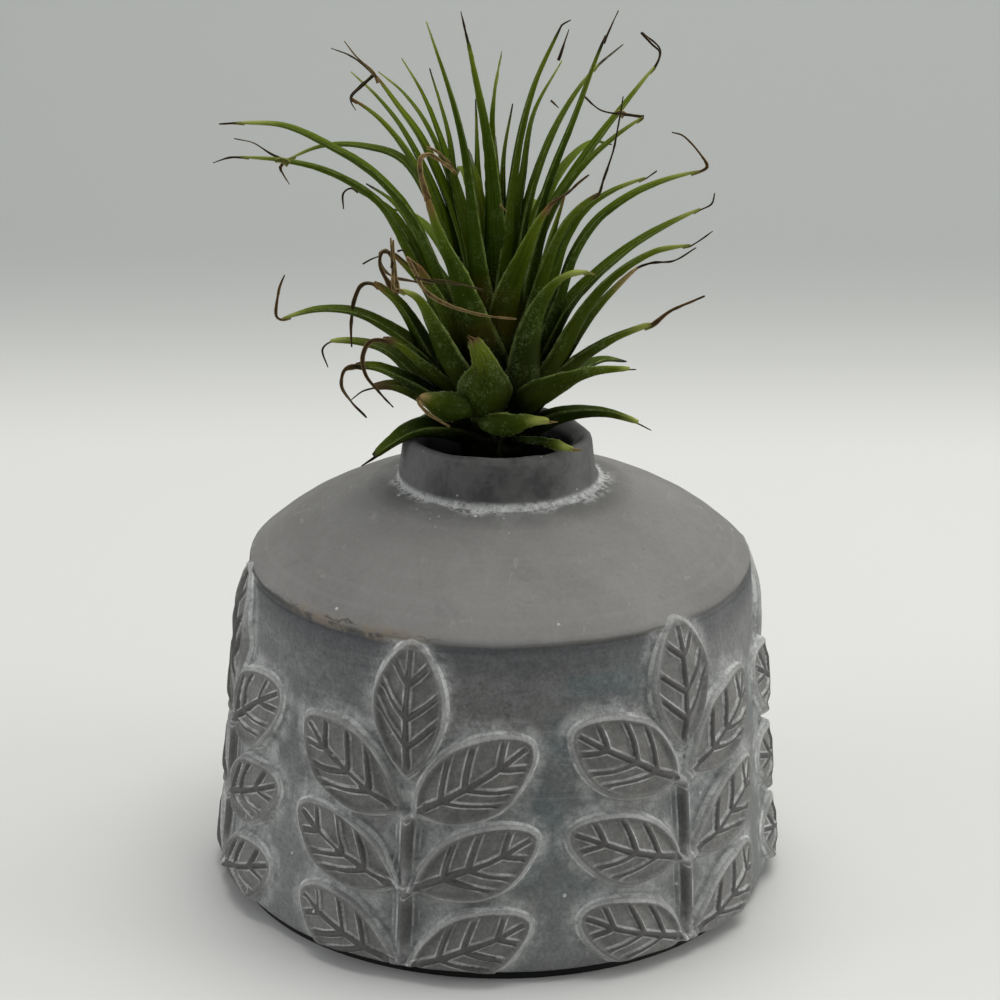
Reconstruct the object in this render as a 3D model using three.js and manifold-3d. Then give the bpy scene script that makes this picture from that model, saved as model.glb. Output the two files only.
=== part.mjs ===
// Potted air plant: a cast cement vase with leaf sprigs in relief, and the rosette in its neck.
// Millimetres, +Z up, the flat base on z = 0 and the vase axis on x = y = 0.
// Azimuths are degrees: 0 is the front (-Y), positive turns toward +X.
import * as THREE from 'three';
import { mergeVertices } from 'three/addons/utils/BufferGeometryUtils.js';
import Module from 'manifold-3d';

const wasm = await Module();
wasm.setup();
const { Manifold, Mesh } = wasm;

// Colours and surfaces
const CEMENT = { color: 0x77756f, roughness: 0.92, metalness: 0.0 };
const LEAF = { color: 0x4f5f22, roughness: 0.62, metalness: 0.0 };

// Vase
const WALL_FOOT = 51.9; // outer radius at the foot of the wall
const WALL_TOP = 47.0; // outer radius at the shoulder edge
const FOOT_Z = 3.0;
const SHOULDER_Z = 62.0;
const RIM_Z = 86.5; // the neck's rim, from which the leaves are measured
const LIP_Z = 87.1; // top of the lip
const WALL_ROUND = 42; // facets round the outside
const CAVITY_ROUND = 20;
const OUTSIDE = [
  [0, 0],
  [50.8, 0],
  [51.8, 1.2],
  [WALL_FOOT, FOOT_Z],
  [WALL_TOP, SHOULDER_Z],
  [46.7, 63.6],
  [42.6, 67.3],
  [36.0, 71.5],
  [27.0, 75.5],
  [19.2, 78.0],
  [18.2, 80.4],
  [17.7, 84.0],
  [16.8, LIP_Z],
  [0, LIP_Z],
];
const CAVITY = [
  [0, 5.0],
  [45.0, 5.0],
  [47.0, 8.0],
  [42.4, 60.0],
  [38.5, 64.0],
  [24.0, 71.8],
  [13.6, 76.0],
  [12.9, 80.0],
  [13.1, 82.5],
  [14.2, 85.3],
  [15.9, LIP_Z + 0.1],
  [15.9, 90.0],
  [0, 90.0],
];

// Relief sprigs
const SPRIGS = 6;
const SPRIG_AZ = 41.5; // one of the six, the others every 60 degrees
const SINK = 2.5; // how far a relief solid goes into the wall
const RIM_HIGH = 2.4; // raised edge of a relief leaf
const RIB_HIGH = 2.4;
const VEIN_HIGH = 2.3;
const PANEL_HIGH = 1.4;
const TIP_DROP = 0.6; // how much lower a relief leaf is at its tip than in its middle
const RIM_INSET = 0.6;
const VEIN_LEAN = 0.2; // how much further along the leaf a vein ends than it starts
const STALK_WIDE = 2.6;
const STALK_HIGH = 2.0;
const STALK_FOOT = 1.0;
const STALK_TOP = 31.0;
const RELIEF_FLOOR = 0.6;
const JOINT_ASIDE = 1.0; // where a side leaf starts, beside the middle of the stalk
const UPPER_GAIN = 2.8; // how far a sprig's lift moves its upper pair, and the top of the stalk
// side (0 is the upright one), height of the joint, how far the sprig's lift moves it, rise in
// degrees, length, width
const RELIEF_LEAVES = [
  [0, 37.8, 1.4, 90, 25.5, 14.0],
  [1, 31.6, UPPER_GAIN, 33.5, 25.0, 15.0],
  [-1, 31.6, UPPER_GAIN, 31.0, 25.0, 15.2],
  [1, 17.7, 1.4, 25.5, 25.0, 13.6],
  [-1, 17.7, 1.4, 22.5, 24.8, 13.8],
  [1, 2.8, 0.8, 24.0, 23.8, 13.2],
  [-1, 2.8, 0.8, 22.0, 23.6, 13.4],
];
const SIDE_VEINS = 3;
// How far each sprig, cut by hand, is lifted, from none to 1
const SPRIG_LIFT = [1.0, 0.4, 0.8, 0.2, 0.5, 0.0];

// Rosette
const PLANT_X = -1.0; // the stem stands a little left of the vase axis
const CLEARANCE = 0.3; // between the plant and the neck
const SPAN = 14.0; // mm of leaf between two stations
const HOLLOW = 0.32; // depth of the channel over the width
const THICK = 0.95;
const TIP_THICK = 0.7;
const EDGE_RAISE = 0.2;
const TIP_WIDE = 0.9;
const SHEATH_LONG = 22.0; // mm over which the broad leaf base narrows
const SHEATH_WIDER = 1.4; // a base is this much wider than the figure in its row
const BASE_DROP = 5.0; // how far below its foot a leaf starts
const BASE_OUT = 5.0; // the most that a foot stands out from the stem's axis
const DRY_THICK = 0.75;
const STEM = [
  [0, -10.0],
  [4.0, -9.0],
  [6.5, -2.0],
  [8.0, 4.0],
  [7.5, 12.0],
  [5.0, 20.0],
  [3.0, 27.0],
  [0, 31.0],
];
// Each leaf: azimuth, height of its foot above the rim, blade width, sheath width,
// points of its middle line (reach from the stem axis, height above the rim),
// dried tip (azimuth, reach, height) and the tip's width.
const LEAVES = [
  // tall leaves round the middle
  [-20, 17, 4.2, 8, [[1.5, 30], [3, 42], [5.5, 54], [10.5, 65.5], [16.5, 77]], [[-20, 19, 81.5]], 0.8],
  [-55, 16, 3.8, 8, [[4.5, 30], [5.5, 40], [7, 51], [9.5, 61.5], [15.5, 78]], [], 0.8],
  [-128, 17, 3.0, 7, [[6, 32], [10, 44], [11.5, 54], [16, 66]], [], 0.8],
  [-132, 16, 3.6, 7, [[6, 32], [10, 43.5], [15, 54.5], [19, 61], [24, 66.5]], [], 0.8],
  [-133, 14, 3.0, 7, [[7, 32], [11, 44], [18, 55], [24, 60], [30.5, 63]], [], 0.8],
  [-150, 19, 2.6, 6, [[4, 34], [7, 45], [8.5, 61]], [], 0.8],
  [-140, 19, 2.8, 6, [[3, 34], [5, 44], [8.5, 52]], [], 1.2],
  [160, 19, 3.2, 6, [[0.5, 34], [-2, 50], [-2, 63], [1.5, 71]], [], 0.8],
  [130, 18, 3.4, 6, [[1, 32], [0.5, 44], [-0.5, 56]], [], 1.6],
  [118, 18, 2.6, 6, [[2, 34], [1.5, 52], [3, 61.5]], [], 0.8],
  [75, 16, 4.2, 8, [[2, 32], [3, 45], [4.5, 56], [7, 66], [11.5, 76.5]], [[75, 13, 77.5]], 0.8],
  [125, 16, 3.2, 6, [[4, 34], [6, 48], [8, 59], [14, 68]], [], 0.8],
  [105, 15, 4.6, 8, [[4, 32], [6.5, 45], [10.5, 56], [14.5, 63], [18.5, 68]], [[105, 23, 71.5]], 0.8],
  [85, 14, 3.8, 8, [[5, 30], [9, 46], [14, 60], [17, 69], [19, 74.5]], [[85, 21, 79]], 0.8],
  // upper left
  [-30, 12, 5.0, 9, [[11, 26], [15, 34], [20, 41], [24, 48.5], [25, 51]],
    [[-30, 26.5, 57], [-30, 24, 57.5], [-30, 20, 55.5], [-30, 14.5, 52]], 1.4],
  [-120, 14, 4.6, 8, [[6, 30], [9, 39], [13, 47], [17, 54], [21.5, 59], [26, 64]],
    [[-120, 31, 67], [-120, 35.5, 68]], 1.0],
  [-112, 13, 3.8, 8, [[9, 34], [13, 45], [19, 55.5], [24, 61], [29, 65]], [], 0.8],
  [-100, 12, 4.2, 8, [[8, 30], [12, 42], [17, 52], [22, 58], [27, 61.5]], [[-100, 23, 66]], 0.8],
  [-110, 11, 4.4, 8, [[8, 28], [12, 39.5], [18.5, 49.5], [26, 51.5], [34, 51], [41, 48]],
    [[-110, 44, 48.5], [-110, 48, 50.5], [-110, 52, 51]], 0.8],
  [-78, 11, 6.2, 10, [[8, 22], [12, 33], [16.5, 42.5], [23, 50], [30.5, 55], [38.5, 59], [47, 60]],
    [[-78, 50, 60]], 0.9],
  [-88, 9, 5.6, 9, [[9, 20], [14, 30], [17, 36], [21.5, 43.5], [29, 48.5], [37, 51], [46, 52]],
    [[-88, 48, 52], [-88, 51, 51]], 0.8],
  [-100, 8, 4.4, 8, [[9, 20], [14, 31], [17, 37], [20.5, 41.5], [27, 45]], [[-100, 28.5, 44], [-100, 28.5, 41]], 0.8],
  [-116, 10, 4.2, 8, [[9, 24], [15.5, 33], [18.5, 38], [22, 41.5], [27, 44]], [], 0.8],
  // left middle
  [-60, 9, 6.6, 9, [[8, 18], [12, 26], [14.5, 30.5], [17, 34.5]],
    [[-60, 18.5, 36], [-52, 18, 33], [-42, 18.5, 29], [-28, 17.5, 25.5], [-5, 17, 23], [12, 17, 21.5]], 1.0],
  [-88, 9, 5.8, 9, [[9, 20], [13, 27.5], [16, 31], [19.5, 34.5]],
    [[-88, 21, 34.5], [-88, 21, 32.5], [-80, 19.5, 31], [-65, 17, 31], [-45, 16, 31.5]], 0.9],
  [-48, 6, 10.6, 10, [[9, 11], [12.5, 17], [15.5, 23], [19, 29], [23, 31.5]],
    [[-48, 24.5, 32], [-50, 24, 36], [-51, 24, 41]], 1.0],
  [-85, 7, 7.4, 10, [[9, 11], [13, 16], [15, 20], [18, 25], [22.5, 29]],
    [[-85, 24.5, 29], [-85, 26, 26], [-85, 26.5, 22], [-85, 26.5, 17]], 1.3],
  [-85, 5, 5.2, 10, [[9, 10], [15, 16.5], [20, 20.5], [26, 23.5], [32.5, 24], [39, 22.5]],
    [[-85, 40, 23], [-85, 39.5, 28], [-84, 38.5, 31]], 0.9],
  [-62, 4, 7.4, 10, [[8, 8], [12, 12], [15, 15], [20, 19.5], [23, 21]],
    [[-62, 25.5, 21], [-62, 27, 18.5], [-62, 26.5, 15], [-62, 24, 11.5], [-62, 21, 8]], 1.2],
  [-98, 3, 5.2, 9, [[8, 5], [13, 8.5], [16, 11], [20, 14.5], [25.5, 16], [31, 16]],
    [[-98, 32.5, 14.5], [-98, 31.5, 11]], 0.8],
  [-70, 2, 5.6, 10, [[8, 5], [14, 9.5], [17, 11.5], [22.5, 14.5], [27, 15.5]],
    [[-70, 29, 15], [-70, 29.5, 12], [-70, 27.5, 8.5], [-70, 25, 5.5]], 1.2],
  [-78, 1, 5.0, 10, [[8, 3], [14.5, 8], [19.5, 10], [23, 10]], [[-78, 25, 9.5], [-78, 27, 8]], 0.9],
  // lowest leaves, on and over the rim
  [-75, -1, 6.8, 10, [[8, 1], [13, 1.8], [16.5, 1.2], [20, -0.8], [23, -3]], [[-75, 25.5, -4.5]], 1.0],
  [80, -1, 5.2, 9, [[10, 3], [15.5, 4.8], [21, 5], [26.5, 3.6]], [[80, 29, 2.4]], 0.8],
  // right side
  [80, 3, 6.4, 10, [[9, 8.5], [15.5, 15], [21, 19], [28.5, 22.5]], [[80, 32, 25.5], [80, 38, 28.5]], 1.3],
  [38, 4, 9.4, 10, [[9, 11.5], [10, 20], [13, 27.5], [18.5, 33.5], [26, 36.5]], [[38, 28, 36.5]], 0.9],
  [88, 5, 5.2, 9, [[10, 12], [13.5, 17], [19, 25], [25.5, 32]],
    [[88, 28, 33], [88, 32, 33.5], [88, 36, 36]], 0.9],
  [72, 5, 7.6, 10, [[8, 9], [11.5, 14.5], [17.5, 26], [23, 32.5], [29.5, 37], [36, 39]], [[72, 40, 42]], 0.8],
  [95, 7, 5.6, 9, [[9, 16], [13.5, 24.5], [18.5, 30], [24.5, 35], [31, 39], [37, 42]],
    [[95, 39, 43], [95, 39.5, 45]], 0.8],
  [85, 9, 5.8, 9, [[9, 19], [11.5, 26], [14, 34], [18, 40.5], [24, 45.5], [30, 48.5], [36, 50.5]],
    [[85, 37.5, 51.5], [85, 36, 54], [85, 33, 57], [85, 31, 57.5]], 0.8],
  [72, 10, 5.6, 9, [[8, 21], [10.5, 29.5], [13, 37.5], [17, 44], [21.5, 47.5], [27.5, 50.5]], [[72, 29.5, 52]], 0.8],
  [60, 11, 4.8, 8, [[9, 27], [12, 37], [14, 41], [17, 45], [20.5, 48]],
    [[60, 21.5, 51], [60, 23.5, 57], [60, 25, 66]], 0.9],
  [80, 12, 5.0, 8, [[7, 32], [9, 40], [11, 44.5], [16, 51.5], [21, 56.5], [26, 60.5]],
    [[80, 24, 61], [80, 18.5, 61.5], [80, 15.5, 64]], 0.8],
  [110, 13, 4.6, 8, [[7, 32], [10, 40], [15, 48], [19.5, 54], [24.5, 60], [30, 66.5]],
    [[110, 31, 69.5], [110, 27.5, 73]], 0.8],
  [28, 8, 7.8, 10, [[5, 17], [6, 27], [10.5, 35.5], [15, 42.5], [20, 48]], [[28, 25, 51], [28, 33, 56]], 0.8],
  [60, 11, 4.2, 8, [[8, 24], [10, 32.5], [12.5, 42], [14, 47]], [], 1.6],
];
// Short broad leaves low in front: stations of the middle line (x, y, height above the rim, width),
// the way that the outer face looks, the dried tip (x, y, height) and the tip's width.
const BRACTS = [
  // the shield in the middle
  [[[-2.5, -4, 1, 6], [-3, -9.5, 6.5, 8], [-3.1, -11.8, 11.1, 10.9], [-3, -12.7, 14.0, 8.8], [-3.1, -13.1, 16.9, 5.2],
    [-4.1, -13.4, 19.6, 3.7], [-5.2, -13.5, 21.9, 2.8]], [-0.05, -1, -0.15], [[-6.2, -13.5, 22.6]], 1.8],
  // left of it, its dried tip folded down
  [[[-1.5, -3, 2.5, 4], [-4.9, -10.5, 7.6, 4.6], [-7.1, -12.6, 8.6, 5.6], [-9.2, -13.6, 9, 6.2], [-11.2, -13.9, 9.7, 5.2],
    [-14.8, -13.2, 10.9, 1.7]], [-0.1, -1, 0.05], [[-14.6, -14.2, 10], [-12.8, -15, 8.4], [-9.2, -15.8, 6.3]], 1.0],
  // the one pointing right over the mouth
  [[[0, -3, 3, 3], [-4.1, -9.5, 5.6, 2.8], [-2.9, -12.8, 5.6, 3.8], [-0.5, -14.3, 5.9, 5.2], [1.9, -14.8, 6.1, 4.7],
    [4.6, -14.5, 6.8, 3], [8.6, -13.4, 6.7, 1.2]], [0.05, -1, -0.1], [[10.2, -13.2, 6.6]], 0.9],
  // the lowest
  [[[1.5, -4, -1, 2.5], [4.5, -10.5, 2, 1.5], [7.9, -14, 2.9, 1.7], [10.1, -15.2, 2.7, 2], [13, -15.7, 2.1, 1.2]],
    [0.1, -1, 0.1], [[14.6, -15.7, 2.2]], 0.8],
  // the wedge at the right
  [[[0.5, -3, 3, 5.5], [5.7, -9.5, 9.3, 7], [8.2, -11, 11.4, 6.2], [10.9, -12.3, 13.3, 4.7], [13.7, -13.3, 15, 3.1],
    [16.7, -14, 16.2, 2.2], [22.9, -14.8, 17.1, 0.9]], [0.2, -1, -0.3], [[24, -14.8, 17.1]], 0.8],
];
// Leaves at the back, out of sight from the front, drawn from ranges
const BACK_LEAVES = 9;
const BACK_MIDDLE = 180;
const BACK_SPREAD = 46;
const BACK_FOOT = [-1, 12];
const BACK_REACH = [22, 36];
const BACK_RISE = [6, 36];
const GOLDEN_TURN = 137.5;
const SEED = 4217;

// Seeded numbers from 0 to 1
function seeded(seed) {
  let state = seed;
  return () => {
    state = (state * 1664525 + 1013904223) % 4294967296;
    return state / 4294967296;
  };
}

function radians(degrees) {
  return (degrees * Math.PI) / 180;
}

// A point at an azimuth, a distance from an axis and a height
function around(azimuth, reach, height, axisX) {
  const a = radians(azimuth);
  return new THREE.Vector3(axisX + reach * Math.sin(a), -reach * Math.cos(a), height);
}

// A closed body from points and triangles
function bodyFrom(points, faces) {
  const geometry = new THREE.BufferGeometry();
  const flat = points.flatMap((p) => [p.x, p.y, p.z]);
  geometry.setAttribute('position', new THREE.Float32BufferAttribute(flat, 3));
  geometry.setIndex(faces.flat());
  return geometry;
}

function toManifold(geometry) {
  const bare = geometry.clone();
  bare.deleteAttribute('normal');
  bare.deleteAttribute('uv');
  const merged = mergeVertices(bare, 1e-4);
  const solid = new Manifold(
    new Mesh({
      numProp: 3,
      vertProperties: new Float32Array(merged.attributes.position.array),
      triVerts: new Uint32Array(merged.index.array),
    }),
  );
  return solid.volume() < 0 ? flipped(merged) : solid;
}

function flipped(merged) {
  const order = Array.from(merged.index.array);
  for (let i = 0; i < order.length; i += 3) {
    const keep = order[i];
    order[i] = order[i + 1];
    order[i + 1] = keep;
  }
  return new Manifold(
    new Mesh({
      numProp: 3,
      vertProperties: new Float32Array(merged.attributes.position.array),
      triVerts: new Uint32Array(order),
    }),
  );
}

// The outer skin of a body: closed pockets between crossing leaves are filled
function outerSkin(triangles) {
  const count = triangles.length / 3;
  const parent = Array.from({ length: count }, (_, i) => i);
  const rootOf = (i) => {
    let at = i;
    while (parent[at] !== at) {
      parent[at] = parent[parent[at]];
      at = parent[at];
    }
    return at;
  };
  const edges = new Map();
  triangles.forEach((v, i) => {
    const next = triangles[i % 3 === 2 ? i - 2 : i + 1];
    const key = v < next ? `${v} ${next}` : `${next} ${v}`;
    const t = Math.floor(i / 3);
    if (edges.has(key)) {
      parent[rootOf(t)] = rootOf(edges.get(key));
    }
    edges.set(key, t);
  });
  const counts = new Map();
  triangles.forEach((_, i) => {
    const skin = rootOf(Math.floor(i / 3));
    counts.set(skin, (counts.get(skin) ?? 0) + 1);
  });
  const [skin] = [...counts.entries()].sort((one, other) => other[1] - one[1])[0];
  return triangles.filter((_, i) => rootOf(Math.floor(i / 3)) === skin);
}

function toMesh(solid, name, surface) {
  const { vertProperties, triVerts } = solid.getMesh();
  const geometry = new THREE.BufferGeometry();
  const skin = outerSkin(Array.from(triVerts));
  geometry.setAttribute('position', new THREE.BufferAttribute(new Float32Array(vertProperties), 3));
  geometry.setIndex(skin);
  geometry.computeVertexNormals();
  const mesh = new THREE.Mesh(geometry, new THREE.MeshStandardMaterial(surface));
  mesh.name = name;
  return mesh;
}

// A turned body round the Z axis
function turned(profile, round, axisX = 0) {
  const points = profile.map(([r, z]) => new THREE.Vector2(r, z));
  const geometry = new THREE.LatheGeometry(points, round);
  geometry.rotateX(Math.PI / 2);
  geometry.translate(axisX, 0, 0);
  return toManifold(geometry);
}

// A body through rings of the same number of points, its ends closed from one point of the ring
function loft(rings, hub = 0) {
  const size = rings[0].length;
  const points = rings.flat();
  const faces = [];
  for (let k = 0; k < rings.length - 1; k += 1) {
    for (let i = 0; i < size; i += 1) {
      const j = (i + 1) % size;
      const a = k * size + i;
      const b = k * size + j;
      faces.push([a, b, b + size]);
      faces.push([a, b + size, a + size]);
    }
  }
  const last = (rings.length - 1) * size;
  for (let step = 1; step < size - 1; step += 1) {
    const i = (hub + step) % size;
    const j = (hub + step + 1) % size;
    faces.push([hub, j, i]);
    faces.push([last + hub, last + i, last + j]);
  }
  return toManifold(bodyFrom(points, faces));
}

function wallRadius(z) {
  return WALL_FOOT + ((WALL_TOP - WALL_FOOT) * (z - FOOT_Z)) / (SHOULDER_Z - FOOT_Z);
}

// A point on the wall: sideways from the sprig's line, height, and how far it stands out
function onWall(azimuth, sideways, z, out) {
  const turn = (sideways / wallRadius(z)) * (180 / Math.PI);
  const lean = Math.atan2(WALL_FOOT - WALL_TOP, SHOULDER_Z - FOOT_Z);
  return around(azimuth + turn, wallRadius(z) + out * Math.cos(lean), z + out * Math.sin(lean), 0);
}

// Half the width of a relief leaf along its length
function reliefHalf(t, width) {
  return (width / 2) * Math.sin(Math.PI * t ** 1.08) ** (0.7 - 0.16 * t);
}

// A relief leaf: raised edge, raised middle rib and side veins with sunk panels between
function reliefLeaf(azimuth, lift, [side, lowest, gain, rise, length, width]) {
  const rows = 2 * SIDE_VEINS + 1;
  const jointZ = lowest + gain * lift;
  const lean = radians(rise);
  const across = side === 0 ? 1 : side;
  const place = (along, aside, out) => {
    const start = side * JOINT_ASIDE;
    const sideways = start + across * (along * Math.cos(lean) - aside * Math.sin(lean));
    const height = jointZ + along * Math.sin(lean) + aside * Math.cos(lean);
    return onWall(azimuth, sideways, height, out);
  };
  const points = [];
  for (let k = 1; k <= rows; k += 1) {
    const t = k / (rows + 1);
    const slant = VEIN_LEAN * Math.sin(Math.PI * t);
    const midHigh = k % 2 === 0 ? VEIN_HIGH : PANEL_HIGH;
    const edgeT = t + slant;
    const middleT = t + slant * 0.55;
    const half = reliefHalf(edgeT, width);
    const rim = Math.max(half - RIM_INSET, half * 0.5);
    const high = 1 - TIP_DROP * Math.max(0, (edgeT - 0.7) / 0.3) ** 2;
    points.push(place(edgeT * length, -half, -SINK));
    points.push(place(edgeT * length, -rim, RIM_HIGH * high));
    points.push(place(middleT * length, -rim * 0.5, midHigh * high));
    points.push(place(t * length, 0, RIB_HIGH * high));
    points.push(place(middleT * length, rim * 0.5, midHigh * high));
    points.push(place(edgeT * length, rim, RIM_HIGH * high));
    points.push(place(edgeT * length, half, -SINK));
  }
  const faces = [];
  for (let k = 0; k < rows - 1; k += 1) {
    const a = k * 7;
    for (let i = 0; i < 6; i += 1) {
      faces.push([a + i, a + i + 1, a + i + 8]);
      faces.push([a + i, a + i + 8, a + i + 7]);
    }
    faces.push([a + 6, a, a + 7]);
    faces.push([a + 6, a + 7, a + 13]);
  }
  const joint = points.length;
  points.push(place(0, 0, 0.5));
  points.push(place(0, 0, -SINK));
  const tip = points.length;
  points.push(place(length, 0, 0.8));
  points.push(place(length, 0, -SINK));
  const end = (rows - 1) * 7;
  for (let i = 0; i < 6; i += 1) {
    faces.push([joint, i + 1, i]);
    faces.push([tip, end + i, end + i + 1]);
  }
  faces.push([joint, 0, joint + 1], [joint, joint + 1, 6], [joint + 1, 0, 6]);
  faces.push([tip, tip + 1, end], [tip, end + 6, tip + 1], [tip + 1, end + 6, end]);
  return toManifold(bodyFrom(points, faces));
}

// The straight stalk of a sprig
function stalk(azimuth, lift) {
  const rings = [STALK_FOOT, STALK_TOP + UPPER_GAIN * lift].map((z, i) => {
    const wide = STALK_WIDE * (i === 0 ? 1.0 : 0.75);
    return [
      onWall(azimuth, -wide / 2, z, -SINK),
      onWall(azimuth, -wide / 2, z, STALK_HIGH * 0.6),
      onWall(azimuth, -wide / 5, z, STALK_HIGH),
      onWall(azimuth, wide / 5, z, STALK_HIGH),
      onWall(azimuth, wide / 2, z, STALK_HIGH * 0.6),
      onWall(azimuth, wide / 2, z, -SINK),
    ];
  });
  return loft(rings);
}

function vase() {
  const reliefs = [];
  for (let s = 0; s < SPRIGS; s += 1) {
    const azimuth = SPRIG_AZ + s * (360 / SPRIGS);
    const lift = SPRIG_LIFT[s];
    reliefs.push(stalk(azimuth, lift));
    RELIEF_LEAVES.forEach((leaf) => reliefs.push(reliefLeaf(azimuth, lift, leaf)));
  }
  const below = turned([[0, -20], [80, -20], [80, RELIEF_FLOOR], [0, RELIEF_FLOOR]], 24);
  const sprigs = Manifold.union(reliefs).subtract(below);
  return turned(OUTSIDE, WALL_ROUND).add(sprigs).subtract(turned(CAVITY, CAVITY_ROUND));
}

// Width of a leaf at a distance along its middle line
function leafWidth(along, length, blade, sheath) {
  const t = Math.min(along / length, 1);
  const base = Math.exp(-((along / SHEATH_LONG) ** 2));
  return blade * (1 - t) ** 0.9 + TIP_WIDE + (sheath * SHEATH_WIDER - blade) * base;
}

// The section of a channelled leaf: a point of its hollow, its edges and two of its back
function section(middle, sideways, inward, wide, thick) {
  const deep = HOLLOW * wide;
  const at = (v, n) => middle.clone().addScaledVector(sideways, v).addScaledVector(inward, n);
  return [
    at(0, thick - deep / 2),
    at(-wide / 2, deep / 2 + EDGE_RAISE),
    at(-wide * 0.27, -deep / 2),
    at(wide * 0.27, -deep / 2),
    at(wide / 2, deep / 2 + EDGE_RAISE),
  ];
}

// A fleshy channelled leaf in the vertical plane of its azimuth
function leafBody([azimuth, foot, blade, sheath, line]) {
  const out = Math.min(BASE_OUT, 0.55 * line[0][0] + 0.3);
  const start = [[0.75 * out, foot - BASE_DROP], [out, foot]];
  const nodes = [...start, ...line].map(([r, h]) => new THREE.Vector3(r, h, 0));
  const curve = new THREE.CatmullRomCurve3(nodes, false, 'centripetal');
  const length = curve.getLength();
  const spans = Math.max(3, Math.round(length / SPAN));
  const a = radians(azimuth);
  const level = new THREE.Vector3(Math.cos(a), Math.sin(a), 0);
  const rings = [];
  for (let k = 0; k <= spans; k += 1) {
    const u = k / spans;
    const p = curve.getPointAt(u);
    const t = curve.getTangentAt(u);
    const wide = leafWidth(u * length, length, blade, sheath);
    const thick = THREE.MathUtils.lerp(THICK, TIP_THICK, u);
    const middle = around(azimuth, p.x, RIM_Z + p.y, PLANT_X);
    rings.push(section(middle, level, around(azimuth, -t.y, t.x, 0), wide, thick));
  }
  return loft(rings);
}

// A short broad leaf through its stations
function bractBody([line, face]) {
  const nodes = line.map(([x, y, h]) => new THREE.Vector3(x, y, RIM_Z + h));
  const curve = new THREE.CatmullRomCurve3(nodes, false, 'centripetal');
  const outward = new THREE.Vector3(...face);
  return loft(line.map(([, , , wide], k) => {
    const u = k / (line.length - 1);
    const along = curve.getTangent(u);
    const sideways = new THREE.Vector3().crossVectors(along, outward).normalize();
    const inward = new THREE.Vector3().crossVectors(along, sideways).normalize();
    return section(nodes[k], sideways, inward, wide, THREE.MathUtils.lerp(THICK, TIP_THICK, u));
  }));
}

// A dried, rolled tip that goes on from the end of the leaf
function dryTip([azimuth, , , , line, tip, tipWide]) {
  const [endR, endH] = line[line.length - 1];
  const [beforeR, beforeH] = line[line.length - 2];
  const back = 1.5 / Math.hypot(endR - beforeR, endH - beforeH);
  const start = [azimuth, endR + (beforeR - endR) * back, endH + (beforeH - endH) * back];
  const nodes = [start, [azimuth, endR, endH], ...tip].map(([az, r, h]) => around(az, r, RIM_Z + h, PLANT_X));
  return dryStrip(nodes, tipWide);
}

function bractTip([line, , tip, tipWide]) {
  const ends = [...line.slice(-2), ...tip].map(([x, y, h]) => new THREE.Vector3(x, y, RIM_Z + h));
  const back = ends[0].clone().sub(ends[1]).setLength(1.5).add(ends[1]);
  return dryStrip([back, ...ends.slice(1)], tipWide);
}

function dryStrip(nodes, tipWide) {
  const curve = new THREE.CatmullRomCurve3(nodes, false, 'centripetal');
  const spans = Math.max(2, nodes.length);
  const rings = [];
  const up = new THREE.Vector3(0.12, 0.96, 0.25).normalize();
  for (let k = 0; k <= spans; k += 1) {
    const u = k / spans;
    const middle = curve.getPointAt(u);
    const along = curve.getTangentAt(u);
    const one = new THREE.Vector3().crossVectors(along, up).normalize();
    const two = new THREE.Vector3().crossVectors(along, one).normalize();
    const wide = Math.max(tipWide * (1 - 0.45 * u), DRY_THICK);
    const corner = (turn, across) => middle
      .clone()
      .addScaledVector(one, across * Math.cos(radians(turn)))
      .addScaledVector(two, DRY_THICK * 0.6 * Math.sin(radians(turn)));
    rings.push([corner(90, wide / 2), corner(210, wide * 0.58), corner(330, wide * 0.58)]);
  }
  return loft(rings);
}

// Leaves at the back by the golden turn, folded into the rear sector
function backLeaves() {
  const draw = seeded(SEED);
  const pick = ([low, high], t) => low + (high - low) * t;
  const leaves = [];
  for (let i = 0; i < BACK_LEAVES; i += 1) {
    const tier = i / (BACK_LEAVES - 1);
    const turn = ((i * GOLDEN_TURN) % 360) / 180 - 1;
    const azimuth = BACK_MIDDLE + BACK_SPREAD * turn;
    const foot = pick(BACK_FOOT, tier);
    const reach = pick(BACK_REACH, 0.25 + 0.75 * draw());
    const rise = pick(BACK_RISE, tier) + 4 * draw();
    const line = [
      [9, foot + 0.45 * rise + 2],
      [reach * 0.5, foot + 0.85 * rise],
      [reach * 0.8, foot + 1.0 * rise],
      [reach, foot + (0.75 + 0.3 * draw()) * rise],
    ];
    leaves.push([azimuth, foot, 5.2 + draw(), 9.5, line, [], 0.8]);
  }
  return leaves;
}

function rosette() {
  const bodies = [turned(STEM.map(([r, h]) => [r, RIM_Z + h]), 12, PLANT_X)];
  [...LEAVES, ...backLeaves()].forEach((leaf) => {
    bodies.push(leafBody(leaf));
    if (leaf[5].length > 0) {
      bodies.push(dryTip(leaf));
    }
  });
  BRACTS.forEach((leaf) => bodies.push(bractBody(leaf), bractTip(leaf)));
  const whole = Manifold.union(bodies);
  const neck = turned([
    [12.4, 70],
    [20.2, 70],
    [19.6, 77.5],
    [18.9, 80.5],
    [18.2, 84.1],
    [17.3, LIP_Z - 0.1],
    [16.3, LIP_Z + CLEARANCE],
    [15.3, LIP_Z + CLEARANCE],
    [13.75, 85.5],
    [12.6, 82.4],
    [12.4, 79.8],
    [12.4, 70],
  ], 48);
  return whole.subtract(neck);
}

const group = new THREE.Group();
group.name = 'potted_air_plant';
group.add(toMesh(vase(), 'vase', CEMENT));
group.add(toMesh(rosette(), 'rosette', LEAF));

export default group;
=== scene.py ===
import math
from collections import namedtuple

import bpy
import numpy as np
from mathutils import Matrix, Vector
from mathutils.kdtree import KDTree


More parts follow.
